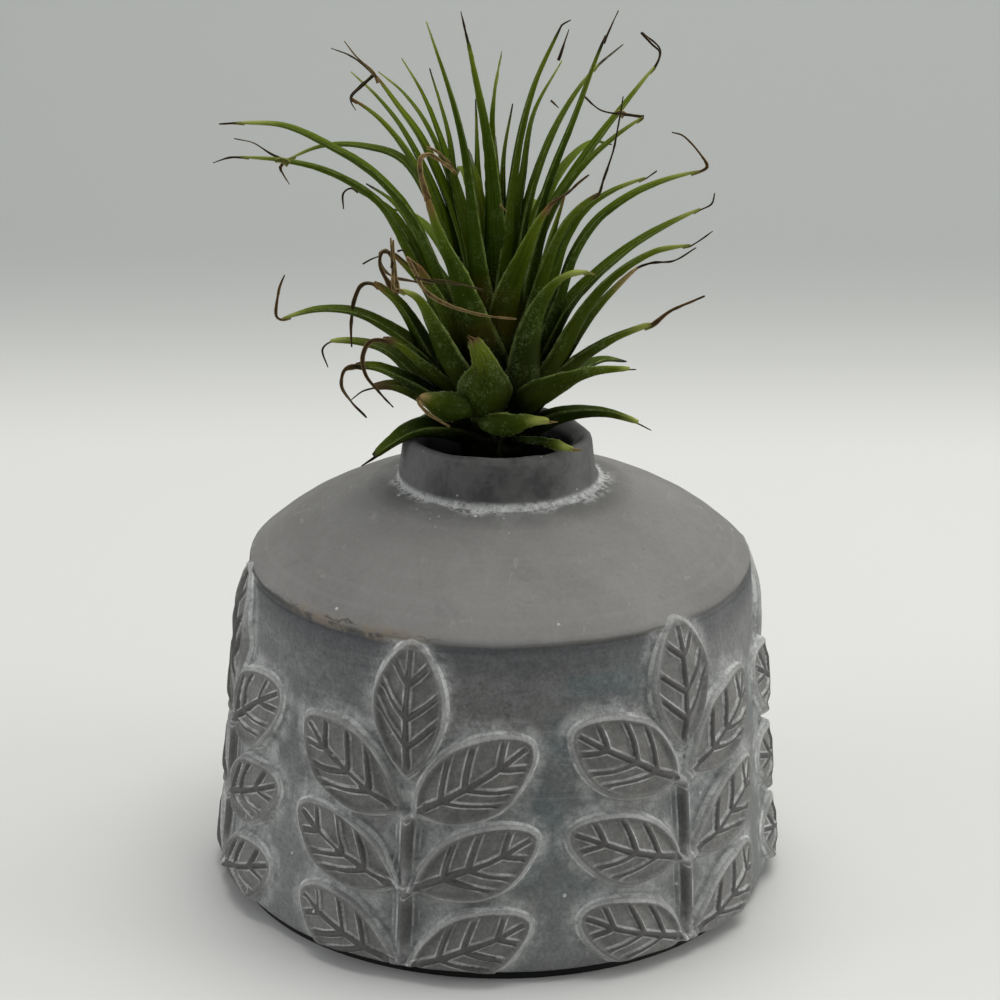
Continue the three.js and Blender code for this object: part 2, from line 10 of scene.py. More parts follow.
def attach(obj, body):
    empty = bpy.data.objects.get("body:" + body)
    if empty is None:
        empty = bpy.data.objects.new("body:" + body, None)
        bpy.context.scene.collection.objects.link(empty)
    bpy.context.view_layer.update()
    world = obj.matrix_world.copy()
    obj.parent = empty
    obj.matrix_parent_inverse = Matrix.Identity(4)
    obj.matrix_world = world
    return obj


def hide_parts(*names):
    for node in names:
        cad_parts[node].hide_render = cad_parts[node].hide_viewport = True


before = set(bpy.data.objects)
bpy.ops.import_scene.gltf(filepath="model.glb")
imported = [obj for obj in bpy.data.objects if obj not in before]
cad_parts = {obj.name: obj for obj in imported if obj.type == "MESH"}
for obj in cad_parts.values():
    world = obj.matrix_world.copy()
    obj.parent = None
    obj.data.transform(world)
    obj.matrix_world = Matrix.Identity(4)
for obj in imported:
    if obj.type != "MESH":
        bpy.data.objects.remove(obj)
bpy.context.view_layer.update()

MM = 0.001
SEED = 4217

# Camera, fitted to the photograph's view
CAM_BACK = 0.564
CAM_TILT = 22.30
CAM_RISE = 0.047
CAM_YAW = -0.01
CAM_PITCH = 19.79
CAM_ROLL = 0.51
CAM_LENS = 106.92

# Studio, metres: name, place, size, energy and colour of each light
WORLD_LIGHT = 0.39
LIGHT_AIM = (0, 0, 0.05)
LIGHTS = [
    ("overhead", (0.12, 0.18, 0.95), (0.9, 0.7), 9.1, (1.0, 0.985, 0.96)),
    ("side", (1.0, -0.14, 0.26), (0.6, 0.5), 5.2, (1.0, 0.99, 0.97)),
    ("fill", (-1.0, -0.16, 0.26), (0.6, 0.5), 4.2, (0.99, 0.99, 1.0)),
]
PAPER_HALF = 1.6
PAPER_BEND = 0.26
PAPER_CURVE = 0.5
PAPER_TOP = 2.2

# Vase, millimetres
WALL_FOOT = 51.9
WALL_TOP = 47.0
FOOT_Z = 3.0
SHOULDER_Z = 62.0
RIM_Z = 86.5
FLOOR_Z = 5.0
NECK_ASIDE = -0.7
SPRIGS = 6
SPRIG_AZ = 41.5
RIM_HIGH = 2.2
RIB_HIGH = 2.15
PANEL_HIGH = 1.45
PANEL_DOME = 0.45
STALK_HIGH = 1.9
STALK_HALF = 1.25
STALK_TOP = 32.0
JOINT_ASIDE = 1.0
# side (0 is the upright one), height of the joint, what the sprig's lift adds to it, rise in degrees,
# length, width
RELIEF_LEAVES = [
    (0, 37.8, 1.4, 90, 25.5, 14.0),
    (1, 31.6, 2.8, 33.5, 25.0, 15.0),
    (-1, 31.6, 2.8, 31.0, 25.0, 15.2),
    (1, 17.7, 1.4, 25.5, 25.0, 13.6),
    (-1, 17.7, 1.4, 22.5, 24.8, 13.8),
    (1, 2.8, 0.8, 24.0, 23.8, 13.2),
    (-1, 2.8, 0.8, 22.0, 23.6, 13.4),
]
JOINTS = ((31.6, 2.8), (17.7, 1.4), (2.8, 0.8))
SPRIG_LIFT = [1.0, 0.4, 0.8, 0.2, 0.5, 0.0]
LEAF_UNIT = 25.0
# start of a pair of veins, and their bend: forward = a * aside + b * aside squared, for the steep
# and the shallow side of the leaf, on a leaf LEAF_UNIT long
VEINS = [(6.6, 0.68, 0.035, 1.02, 0.060), (11.4, 0.66, 0.040, 1.05, 0.060), (17.9, 0.70, 0.060, 0.98, 0.080)]
VEIN_HALF = 0.60
VEIN_TAPER = 0.02
RIB_HALF = 0.74
RIB_TAPER = 0.010
RIB_END = 0.93 * LEAF_UNIT
# The turned profile (radius, height) below the wall, and above it over the lip to the inside
FOOT = [(0, 0), (49.9, 0), (50.15, 0.25), (50.2, 1.5), (50.7, 1.8), (51.4, 2.1), (51.8, 2.5), (51.9, 3.0)]
SHOULDER = [
    (47.0, 61.7), (46.78, 62.4), (46.9, 63.0), (46.7, 63.7), (46.1, 64.3), (44.6, 65.6), (42.6, 67.3),
    (39.5, 69.5), (36.0, 71.5), (31.5, 73.7), (27.0, 75.5), (23.0, 76.9), (20.2, 77.7), (19.1, 78.0),
    (18.65, 78.5), (18.35, 79.4), (18.1, 80.6), (17.85, 82.4), (17.65, 84.2), (17.5, 85.6), (17.2, 86.6),
    (16.6, 87.15), (15.95, 87.0), (15.3, 86.4), (14.6, 85.5), (13.9, 84.3), (13.4, 82.8), (13.1, 80.0),
    (13.6, 76.4), (14.2, 75.8), (24.0, 71.8), (38.5, 64.0), (42.4, 60.0), (46.6, 10.0), (45.0, 5.6),
    (40.0, 5.0), (0, 5.0),
]
AROUND = 1080
WALL_ROWS = 212
VASE_TRIANGLES = 186000

# Rosette, millimetres
PLANT_X = -1.0
HOLLOW = 0.32
SHEATH_LONG = 22.0
SHEATH_WIDER = 1.4
STEM = [(0, -10), (3.5, -9), (5, -2), (5.5, 4), (4.2, 11), (2.8, 18), (1.6, 25), (0, 28)]
# Each leaf: azimuth, height of its foot above the rim, blade width, sheath width, colour of its end,
# mm of the end that have turned, middle line (reach, height above the rim), and where it has a dried
# tip, that tip's colour, width and line (reach, height, and its azimuth where it turns aside)
Leaf = namedtuple(
    "Leaf", "azimuth foot blade sheath colour turned line tip_colour tip_width tip", defaults=("", 0, ()))
LEAVES = [
    # tall leaves round the middle
    (-20, 17, 4.2, 8, "black", 3, [(1.5, 30), (3, 42), (5.5, 54), (10.5, 65.5), (16.5, 77)], "black", 0.8,
     [(19, 81.5)]),
    (-55, 16, 3.8, 8, "straw", 6, [(4.5, 30), (5.5, 40), (7, 51), (9.5, 61.5), (15.5, 78)]),
    (-128, 17, 3, 7, "black", 2, [(6, 32), (10, 44), (11.5, 54), (16, 66)]),
    (-132, 16, 3.6, 7, "straw", 5, [(6, 32), (10, 43.5), (15, 54.5), (19, 61), (24, 66.5)]),
    (-133, 14, 3, 7, "straw", 5, [(7, 32), (11, 44), (18, 55), (24, 60), (30.5, 63)]),
    (-150, 19, 2.6, 6, "black", 3, [(4, 34), (7, 45), (8.5, 61)]),
    (-140, 19, 2.8, 6, "grey", 3, [(3, 34), (5, 44), (8.5, 52)]),
    (160, 19, 3.2, 6, "straw", 9, [(0.5, 34), (-2, 50), (-2, 63), (1.5, 71)]),
    (130, 18, 3.4, 6, "grey", 2, [(1, 32), (0.5, 44), (-0.5, 56)]),
    (118, 18, 2.6, 6, "black", 3, [(2, 34), (1.5, 52), (3, 61.5)]),
    (75, 16, 4.2, 8, "black", 3, [(2, 32), (3, 45), (4.5, 56), (7, 66), (11.5, 76.5)], "black", 0.8,
     [(13, 77.5)]),
    (125, 16, 3.2, 6, "straw", 5, [(4, 34), (6, 48), (8, 59), (14, 68)]),
    (105, 15, 4.6, 8, "straw", 5, [(4, 32), (6.5, 45), (10.5, 56), (14.5, 63), (18.5, 68)], "grey", 0.8,
     [(23, 71.5)]),
    (85, 14, 3.8, 8, "black", 4, [(5, 30), (9, 46), (14, 60), (17, 69), (19, 74.5)], "black", 0.8,
     [(21, 79)]),
    # upper left
    (-30, 12, 5, 9, "rust", 6, [(11, 26), (15, 34), (20, 41), (24, 48.5), (25, 51)], "tan", 1.4,
     [(26.5, 57), (24, 57.5), (20, 55.5), (14.5, 52)]),
    (-120, 14, 4.6, 8, "rust", 3, [(6, 30), (9, 39), (13, 47), (17, 54), (21.5, 59), (26, 64)], "black", 1,
     [(31, 67), (35.5, 68)]),
    (-112, 13, 3.8, 8, "straw", 6, [(9, 34), (13, 45), (19, 55.5), (24, 61), (29, 65)]),
    (-100, 12, 4.2, 8, "rust", 3, [(8, 30), (12, 42), (17, 52), (22, 58), (27, 61.5)], "black", 0.8,
     [(23, 66)]),
    (-110, 11, 4.4, 8, "straw", 5, [(8, 28), (12, 39.5), (18.5, 49.5), (26, 51.5), (34, 51), (41, 48)],
     "black", 0.8, [(44, 48.5), (48, 50.5), (52, 51)]),
    (-78, 11, 6.2, 10, "straw", 7, [(8, 22), (12, 33), (16.5, 42.5), (23, 50), (30.5, 55), (38.5, 59),
     (47, 60)], "black", 0.9, [(50, 60)]),
    (-88, 9, 5.6, 9, "straw", 6, [(9, 20), (14, 30), (17, 36), (21.5, 43.5), (29, 48.5), (37, 51),
     (46, 52)], "black", 0.8, [(48, 52), (51, 51)]),
    (-100, 8, 4.4, 8, "black", 2, [(9, 20), (14, 31), (17, 37), (20.5, 41.5), (27, 45)], "black", 0.8,
     [(28.5, 44), (28.5, 41)]),
    (-116, 10, 4.2, 8, "black", 3, [(9, 24), (15.5, 33), (18.5, 38), (22, 41.5), (27, 44)]),
    # left middle
    (-60, 9, 6.6, 9, "rust", 4, [(8, 18), (12, 26), (14.5, 30.5), (17, 34.5)], "tan", 1, [(18.5, 36),
     (18, 33, -52), (18.5, 30.8, -42), (17.5, 28.8, -28), (17, 27.4, -5), (17, 26.8, 12)]),
    (-88, 9, 5.8, 9, "rust", 4, [(9, 20), (13, 27.5), (16, 31), (19.5, 34.5)], "brown", 0.9, [(21, 34.5),
     (21, 32.5), (19.5, 31, -80), (17, 31, -65), (16, 31.5, -45)]),
    (-48, 6, 10.6, 10, "straw", 3, [(9, 11), (12.5, 17), (15.5, 23), (19, 29), (23, 31.5)], "tan", 1,
     [(24.5, 32), (24, 36, -50), (24, 41, -51)]),
    (-85, 7, 7.4, 10, "rust", 3, [(9, 11), (13, 16), (15, 20), (18, 25), (22.5, 29)], "brown", 1.3,
     [(24.5, 29), (26, 26), (26.5, 22), (26.5, 17)]),
    (-85, 5, 5.2, 10, "straw", 4, [(9, 10), (15, 16.5), (20, 20.5), (26, 23.5), (32.5, 24), (39, 22.5)],
     "rust", 0.9, [(40, 23), (39.5, 28), (38.5, 31, -84)]),
    (-62, 4, 7.4, 10, "brown", 3, [(8, 8), (12, 12), (15, 15), (20, 19.5), (23, 21)], "brown", 1.2,
     [(25.5, 21), (27, 18.5), (26.5, 15), (24, 11.5), (21, 8)]),
    (-98, 3, 5.2, 9, "straw", 3, [(8, 5), (13, 8.5), (16, 11), (20, 14.5), (25.5, 16), (31, 16)], "black",
     0.8, [(32.5, 14.5), (31.5, 11)]),
    (-70, 2, 5.6, 10, "black", 2, [(8, 5), (14, 9.5), (17, 11.5), (22.5, 14.5), (27, 15.5)], "brown", 1.2,
     [(29, 15), (29.5, 12), (27.5, 8.5), (25, 5.5)]),
    (-78, 1, 5, 10, "brown", 4, [(8, 3), (14.5, 8), (19.5, 10), (23, 10)], "black", 0.9, [(25, 9.5),
     (27, 8)]),
    # lowest leaves, on and over the rim
    (-75, -1, 6.8, 10, "black", 1, [(8, 1), (13, 1.8), (16.5, 1.2), (20, -0.8), (23, -3)], "black", 1,
     [(25.5, -4.5)]),
    (80, -1, 5.2, 9, "straw", 3, [(10, 3), (15.5, 4.8), (21, 5), (26.5, 3.6)], "black", 0.8, [(29, 2.4)]),
    # right side
    (80, 3, 6.4, 10, "straw", 4, [(9, 8.5), (15.5, 15), (21, 19), (28.5, 22.5)], "rust", 1.3, [(32, 25.5),
     (38, 28.5)]),
    (38, 4, 9.4, 10, "straw", 8, [(9, 11.5), (10, 20), (13, 27.5), (18.5, 33.5), (26, 36.5)], "straw", 0.9,
     [(28, 36.5)]),
    (88, 5, 5.2, 9, "tan", 6, [(10, 12), (13.5, 17), (19, 25), (25.5, 32)], "black", 0.9, [(28, 33),
     (32, 33.5), (36, 36)]),
    (72, 5, 7.6, 10, "straw", 5, [(8, 9), (11.5, 14.5), (17.5, 26), (23, 32.5), (29.5, 37), (36, 39)],
     "black", 0.8, [(40, 42)]),
    (95, 7, 5.6, 9, "straw", 5, [(9, 16), (13.5, 24.5), (18.5, 30), (24.5, 35), (31, 39), (37, 42)],
     "black", 0.8, [(39, 43), (39.5, 45)]),
    (85, 9, 5.8, 9, "straw", 6, [(9, 19), (11.5, 26), (14, 34), (18, 40.5), (24, 45.5), (30, 48.5),
     (36, 50.5)], "rust", 0.8, [(37.5, 51.5), (36, 54), (33, 57), (31, 57.5)]),
    (72, 10, 5.6, 9, "straw", 5, [(8, 21), (10.5, 29.5), (13, 37.5), (17, 44), (21.5, 47.5), (27.5, 50.5)],
     "black", 0.8, [(29.5, 52)]),
    (60, 11, 4.8, 8, "brown", 2, [(9, 27), (12, 37), (14, 41), (17, 45), (20.5, 48)], "black", 0.9,
     [(21.5, 51), (23.5, 57), (25, 66)]),
    (80, 12, 5, 8, "straw", 3, [(7, 32), (9, 40), (11, 44.5), (16, 51.5), (21, 56.5), (26, 60.5)], "black",
     0.8, [(24, 61), (18.5, 61.5), (15.5, 64)]),
    (110, 13, 4.6, 8, "straw", 5, [(7, 32), (10, 40), (15, 48), (19.5, 54), (24.5, 60), (30, 66.5)],
     "black", 0.8, [(31, 69.5), (27.5, 73)]),
    (28, 8, 7.8, 10, "rust", 4, [(5, 17), (6, 27), (10.5, 35.5), (15, 42.5), (20, 48)], "brown", 0.8,
     [(25, 51), (33, 56)]),
    (60, 11, 4.2, 8, "rust", 3, [(8, 24), (10, 32.5), (12.5, 42), (14, 47)]),
]
# Short broad leaves low in front: stations of the middle line (x, y, height above the rim, width),
# the way that the outer face looks, dried tip (x, y, height), width of the tip, colour of the leaf's
# end, colour of the dried tip, mm of the leaf's end that have turned, share that lies in the dark
BRACTS = [
    ([(-2.5, -4, 1, 6), (-3, -9.5, 6.5, 8), (-3.1, -11.8, 11.1, 10.9), (-3, -12.7, 14, 8.8),
     (-3.1, -13.1, 16.9, 5.2), (-4.1, -13.4, 19.6, 3.7), (-5.2, -13.5, 21.9, 2.8)], (-0.05, -1, -0.15),
     [(-6.2, -13.5, 22.6)], 1.3, "brown", "rust", 0.5, 0.34),
    ([(-1.5, -3, 2.5, 4), (-4.9, -10.5, 7.6, 4.6), (-7.1, -12.6, 8.6, 5.6), (-9.2, -13.6, 9, 6.2),
     (-11.2, -13.9, 9.7, 5.2), (-14.8, -13.2, 10.9, 1.7)], (-0.1, -1, 0.05), [(-14.6, -14.2, 10),
     (-12.8, -15, 8.4), (-9.2, -15.8, 6.3)], 1, "tan", "tan", 2.5, 0.4),
    ([(0, -3, 3, 3), (-4.1, -9.5, 5.6, 2.8), (-2.9, -12.8, 5.6, 3.8), (-0.5, -14.3, 5.9, 5.2),
     (1.9, -14.8, 6.1, 4.7), (4.6, -14.5, 6.8, 3), (8.6, -13.4, 6.7, 1.2)], (0.05, -1, -0.1),
     [(10.2, -13.2, 6.6)], 0.9, "straw", "tan", 4, 0.46),
    ([(1.5, -4, -1, 2.5), (4.5, -10.5, 2, 1.5), (7.9, -14, 2.9, 1.7), (10.1, -15.2, 2.7, 2),
     (13, -15.7, 2.1, 1.2)], (0.1, -1, 0.1), [(14.6, -15.7, 2.2)], 0.8, "straw", "tan", 3, 0.6),
    ([(0.5, -3, 3, 5.5), (5.7, -9.5, 9.3, 7), (8.2, -11, 11.4, 6.2), (10.9, -12.3, 13.3, 4.7),
     (13.7, -13.3, 15, 3.1), (16.7, -14, 16.2, 2.2), (22.9, -14.8, 17.1, 0.9)], (0.2, -1, -0.3),
     [(24, -14.8, 17.1)], 0.8, "straw", "black", 2, 0.34),
]
BACK_LEAVES = 9
BACK_MIDDLE = 180
BACK_SPREAD = 46
BACK_FOOT = (-1, 12)
BACK_REACH = (22, 36)
BACK_RISE = (6, 36)
GOLDEN_TURN = 137.5

# Fine dried threads and curls beside the leaves' own tips: colour, width, how far it thins,
# points (x, y, height above the rim)
THREADS = [
    ("tan", 0.5, 0.9, [(-22.6, 4, 64.5), (-23.3, 4, 66.3), (-26.5, 4, 69.3), (-28.6, 4, 72)]),
    ("black", 0.4, 0.8, [(-23.3, 4, 65.9), (-25.5, 4, 63.9), (-27.5, 4, 61.5), (-26.6, 4, 59.5)]),
    ("tan", 0.5, 0.8, [(-13.6, -8, 55.6), (-11.9, -9, 55.2), (-9.9, -10, 53.8), (-8.2, -10, 51.5)]),
    ("brown", 0.5, 0.8, [(-39, -5, 52.2), (-39.6, -6, 51.2), (-39, -6, 50), (-37.9, -7, 48.4)]),
    ("straw", 1, 0.3, [(-38.2, -5, 51.6), (-39.2, -5, 52.3), (-40.6, -5, 52.2)]),
    ("black", 0.5, 0.8, [(25.1, 3, 58.9), (22.6, 3, 59.3), (20.8, 3, 59.5), (17.2, 2, 60.5),
     (14.1, 2, 62.9)]),
    ("tan", 1.1, 0.2, [(21.6, 3, 59.2), (20.8, 3, 59.7), (20.2, 3, 59.5)]),
    ("rust", 1, 0.4, [(7.9, -6, 43.2), (8.9, -6, 45.2), (9.7, -6, 46.2)]),
    ("black", 0.4, 0.8, [(8.9, -6, 45.2), (11.2, -5, 46.6), (13.3, -5, 48.5), (15.3, -4, 49.9)]),
    ("black", 0.5, 0.9, [(9.6, 6, 68.5), (10.1, 6, 70), (10.8, 7, 71.9), (11.5, 8, 73.7)]),
    ("tan", 0.35, 0.8, [(-0.6, -8, 45.5), (0, -8.2, 44.9), (0.7, -8, 44)]),
    ("brown", 0.35, 0.8, [(8.4, 2, 62.1), (9.1, 2, 61.4), (9.8, 2, 60.7)]),
    ("tan", 0.9, 0.6, [(-18.6, -16, 31.4), (-19, -15, 34.2), (-19.3, -15, 37.6), (-19.2, -14, 40.3)]),
    ("brown", 0.9, 0.4, [(-18.4, -16, 31), (-20.9, -16, 34.4), (-21.7, -15, 36.2), (-21.5, -14, 38),
     (-20.4, -15, 38.8), (-19.5, -15, 37.6), (-19.6, -16, 35.7)]),
    ("black", 0.3, 0.7, [(-24.8, -12, 35.3), (-23.3, -12, 36.2), (-21.7, -13, 37.1)]),
    ("black", 0.35, 0.7, [(-18.6, -14, 38.3), (-17.8, -14, 38.5), (-16.7, -14, 38.1)]),
    ("black", 0.3, 0.6, [(-15.4, -16, 34.1), (-11, -17, 33.4), (-6.9, -18, 33.3), (-3.4, -18, 32.6)]),
    ("brown", 0.3, 0.6, [(-14.9, -16, 33.8), (-10.3, -17, 33.9), (-5.7, -18, 33), (-3.2, -18, 32.2)]),
    ("black", 0.4, 0.7, [(24.1, 0, 74.8), (26.1, 0, 72.7), (27.4, 0, 71.5), (27.4, 0, 70.4),
     (27, 0, 69.5)]),
]

# Colours of turned leaf, linear light, and how thin a dried tip of that colour is
TURNED = {
    "black": (0.014, 0.011, 0.009),
    "brown": (0.080, 0.050, 0.020),
    "rust": (0.140, 0.080, 0.028),
    "tan": (0.270, 0.190, 0.080),
    "straw": (0.230, 0.260, 0.060),
    "grey": (0.200, 0.210, 0.170),
}
THIN = {"black": 0.50, "brown": 0.72, "rust": 0.72, "tan": 0.80, "straw": 0.60, "grey": 0.55}
TIP_THINS = 0.72

# Pale hairs on the leaves: how many, how long and how wide, millimetres
HAIRS = 16000
HAIR_LONG = (0.12, 0.34)
HAIR_WIDE = (0.028, 0.050)


# Seeded smooth noise on a lattice, about -1 to 1
LATTICE = np.random.default_rng(SEED).uniform(-1, 1, (32, 32, 32))


def noise(points, scale, shift=0.0):
    p = np.asarray(points, float) * scale + shift
    cell = np.floor(p).astype(int)
    f = p - cell
    f = f * f * (3 - 2 * f)
    total = 0.0
    for corner in range(8):
        d = np.array([corner & 1, corner >> 1 & 1, corner >> 2 & 1])
        at = (cell + d) % 32
        weight = np.prod(np.where(d, f, 1 - f), axis=-1)
        total = total + weight * LATTICE[at[..., 0], at[..., 1], at[..., 2]]
    return total


def smooth(low, high, x):
    t = np.clip((x - low) / (high - low), 0, 1)
    return t * t * (3 - 2 * t)


def unit(vectors, least=0.0):
    return vectors / (np.linalg.norm(vectors, axis=1)[:, None] + least)


def put(mesh, key, values):
    """Float or colour values on a mesh's points."""
    values = np.asarray(values, np.float32)
    if values.ndim == 2:
        full = np.ones((len(values), 4), np.float32)
        full[:, :3] = values
        mesh.attributes.new(key, "FLOAT_COLOR", "POINT").data.foreach_set("color", full.ravel())
    else:
        mesh.attributes.new(key, "FLOAT", "POINT").data.foreach_set("value", values)


def new_mesh(name, points, faces, attributes=None, shade=True):
    """A mesh object from points in millimetres, faces and attributes on the points."""
    mesh = bpy.data.meshes.new(name)
    mesh.from_pydata([tuple(p) for p in np.asarray(points) * MM], [], faces)
    mesh.validate()
    for key, values in (attributes or {}).items():
        put(mesh, key, values)
    if shade:
        mesh.shade_smooth()
    thing = bpy.data.objects.new(name, mesh)
    bpy.context.scene.collection.objects.link(thing)
    return thing


def shell(rows, size):
    """Faces between rings of points, and fans that close the two ends on two points after them."""
    index = np.arange(rows * size).reshape(rows, size)
    right = np.roll(index, -1, axis=1)
    quads = np.stack([index[:-1], right[:-1], right[1:], index[1:]], -1).reshape(-1, 4)
    first = np.stack([right[0], index[0], np.full(size, rows * size)], -1)
    last = np.stack([index[-1], right[-1], np.full(size, rows * size + 1)], -1)
    return quads, first.tolist() + last.tolist()


class Tree:
    """Small helpers for the node tree of a new material."""

    def __init__(self, name):
        self.material = bpy.data.materials.new(name)
        self.material.use_nodes = True
        self.tree = self.material.node_tree
        self.tree.nodes.clear()
        self.here = self.add("ShaderNodeTexCoord").outputs["Object"]

    def add(self, kind, values=None, **settings):
        node = self.tree.nodes.new(kind)
        for key, value in settings.items():
            setattr(node, key, value)
        for key, value in (values or {}).items():
            if isinstance(value, bpy.types.NodeSocket):
                self.tree.links.new(value, node.inputs[key])
            else:
                node.inputs[key].default_value = value
        return node

    def attribute(self, name, output="Fac"):
        return self.add("ShaderNodeAttribute", attribute_name=name).outputs[output]

    def attributes(self, names):
        return [self.attribute(name) for name in names.split()]

    def stretched(self, x, y, z):
        return self.add("ShaderNodeMapping", {"Vector": self.here, "Scale": (x, y, z)}).outputs[0]

    def noise(self, vector, scale, detail=3.0, rough=0.55, distort=0.0):
        values = {"Vector": vector, "Scale": scale, "Detail": detail, "Roughness": rough, "Distortion": distort}
        return self.add("ShaderNodeTexNoise", values).outputs["Fac"]

    def spots(self, scale, detail, low, high, first=0.0, last=1.0, rough=0.55, distort=0.0):
        """Noise in the object's own place, stepped between low and high."""
        return self.step(self.noise(self.here, scale, detail, rough, distort), low, high, first, last)

    def dots(self, scale, low, high):
        """Distance to the middle of the nearest cell, stepped between low and high."""
        cells = self.add("ShaderNodeTexVoronoi", {"Vector": self.here, "Scale": scale})
        return self.step(cells.outputs["Distance"], low, high)

    def math(self, operation, a, b=0.0, third=0.0):
        return self.add("ShaderNodeMath", {0: a, 1: b, 2: third}, operation=operation).outputs[0]

    def many(self, operation, *values):
        total = values[0]
        for value in values[1:]:
            total = self.math(operation, total, value)
        return total

    def times(self, *values):
        return self.many("MULTIPLY", *values)

    def plus(self, *values):
        return self.many("ADD", *values)

    def minus(self, *values):
        return self.many("SUBTRACT", *values)

    def most(self, *values):
        return self.many("MAXIMUM", *values)

    def absolute(self, value):
        return self.math("ABSOLUTE", value)

    def scaled(self, value, by, then):
        return self.math("MULTIPLY_ADD", value, by, then)

    def step(self, value, low, high, first=0.0, last=1.0):
        values = {"Value": value, "From Min": low, "From Max": high, "To Min": first, "To Max": last}
        return self.add("ShaderNodeMapRange", values, interpolation_type="SMOOTHSTEP").outputs[0]

    def band(self, value, middle, half):
        return self.step(self.absolute(self.minus(value, middle)), half * 0.35, half, 1.0, 0.0)

    def mix(self, amount, first, second, blend="MIX"):
        node = self.add("ShaderNodeMix", data_type="RGBA", blend_type=blend)
        for index, value in ((0, amount), (6, first), (7, second)):
            if isinstance(value, bpy.types.NodeSocket):
                self.tree.links.new(value, node.inputs[index])
            else:
                node.inputs[index].default_value = (*value, 1.0) if index else value
        return node.outputs[2]

    def layers(self, colour, *coats):
        """Coats over a colour: each is a tone, and shares that multiply to its amount."""
        for tone, *shares in coats:
            colour = self.mix(self.times(*shares), colour, tone)
        return colour

    def finish(self, colour, rough, specular, height=None, distance=0.0002, strength=1.0):
        values = {"Base Color": colour, "Roughness": rough, "Specular IOR Level": specular}
        if height is not None:
            bump = self.add("ShaderNodeBump", {"Height": height, "Distance": distance, "Strength": strength})
            values["Normal"] = bump.outputs[0]
        shader = self.add("ShaderNodeBsdfPrincipled", values)
        self.add("ShaderNodeOutputMaterial", {"Surface": shader.outputs[0]})
        return self.material


# Camera and studio
def make_camera():
    tilt = math.radians(CAM_TILT)
    place = Vector((0, -CAM_BACK * math.cos(tilt), CAM_BACK * math.sin(tilt) + CAM_RISE))
    yaw, pitch, roll = (math.radians(v) for v in (CAM_YAW, CAM_PITCH, CAM_ROLL))
    ahead = Vector((math.sin(yaw) * math.cos(pitch), math.cos(yaw) * math.cos(pitch), -math.sin(pitch)))
    level = ahead.cross(Vector((0, 0, 1))).normalized()
    above = level.cross(ahead)
    right = math.cos(roll) * level + math.sin(roll) * above
    up = -math.sin(roll) * level + math.cos(roll) * above
    data = bpy.data.cameras.new("camera")
    data.lens = CAM_LENS
    data.sensor_width = 36
    data.clip_start = 0.01
    data.clip_end = 20
    camera = bpy.data.objects.new("camera", data)
    bpy.context.scene.collection.objects.link(camera)
    matrix = Matrix((right, up, -ahead)).transposed().to_4x4()
    matrix.translation = place
    camera.matrix_world = matrix
    bpy.context.scene.camera = camera


def make_lights():
    world = bpy.data.worlds.new("studio")
    world.use_nodes = True
    world.node_tree.nodes["Background"].inputs[0].default_value = (0.95, 0.98, 1.0, 1)
    world.node_tree.nodes["Background"].inputs[1].default_value = WORLD_LIGHT
    bpy.context.scene.world = world
    bpy.context.scene.view_settings.view_transform = "Standard"
    for name, place, size, energy, colour in LIGHTS:
        data = bpy.data.lights.new(name, "AREA")
        data.shape = "RECTANGLE"
        data.size, data.size_y = size
        data.energy = energy
        data.color = colour
        lamp = bpy.data.objects.new(name, data)
        lamp.location = place
        lamp.rotation_euler = (Vector(LIGHT_AIM) - Vector(place)).to_track_quat("-Z", "Y").to_euler()
        bpy.context.scene.collection.objects.link(lamp)


def make_backdrop():
    line = [(-PAPER_HALF, 0.0), (PAPER_BEND, 0.0)]
    line += [(PAPER_BEND + PAPER_CURVE * math.sin(a), PAPER_CURVE * (1 - math.cos(a)))
             for a in np.linspace(0.05, math.pi / 2, 24)]
    line += [(PAPER_BEND + PAPER_CURVE, PAPER_TOP)]
    points = [(x / MM, y / MM, z / MM) for x in (-PAPER_HALF, PAPER_HALF) for y, z in line]
    count = len(line)
    faces = [(count + i, count + i + 1, i + 1, i) for i in range(count - 1)]
    stage = new_mesh("backdrop", points, faces)
    t = Tree("paper")
    depth = t.add("ShaderNodeSeparateXYZ", {"Vector": t.here}).outputs["Y"]
    near = t.mix(t.noise(t.here, 3.0, 2.0), (0.572, 0.578, 0.562), (0.598, 0.598, 0.584))
    # the paper's colour darkens towards the back and up the sweep: painted shade
    colour = t.mix(t.step(depth, 0.235, 0.40), near, (0.312, 0.324, 0.314))
    stage.data.materials.append(t.finish(colour, 0.75, 0.2))


# Relief: a map of the distance to a leaf's outline, looked up for every point of the wall
MAP_STEP = 0.12
MAP_SIDE = 12.0
MAP_BEFORE = 4.0


def relief_half(t, width):
    t = np.clip(t, 0, 1)
    return width / 2 * np.sin(math.pi * t ** 1.08) ** (0.70 - 0.16 * t)


def to_line(points, line):
    """Distance from points to a broken line."""
    best = np.full(len(points), 1e9)
    for a, b in zip(line, line[1:]):
        ab = b - a
        t = np.clip(((points - a) @ ab) / (ab @ ab), 0, 1)
        best = np.minimum(best, np.linalg.norm(points - (a + t[:, None] * ab), axis=1))
    return best


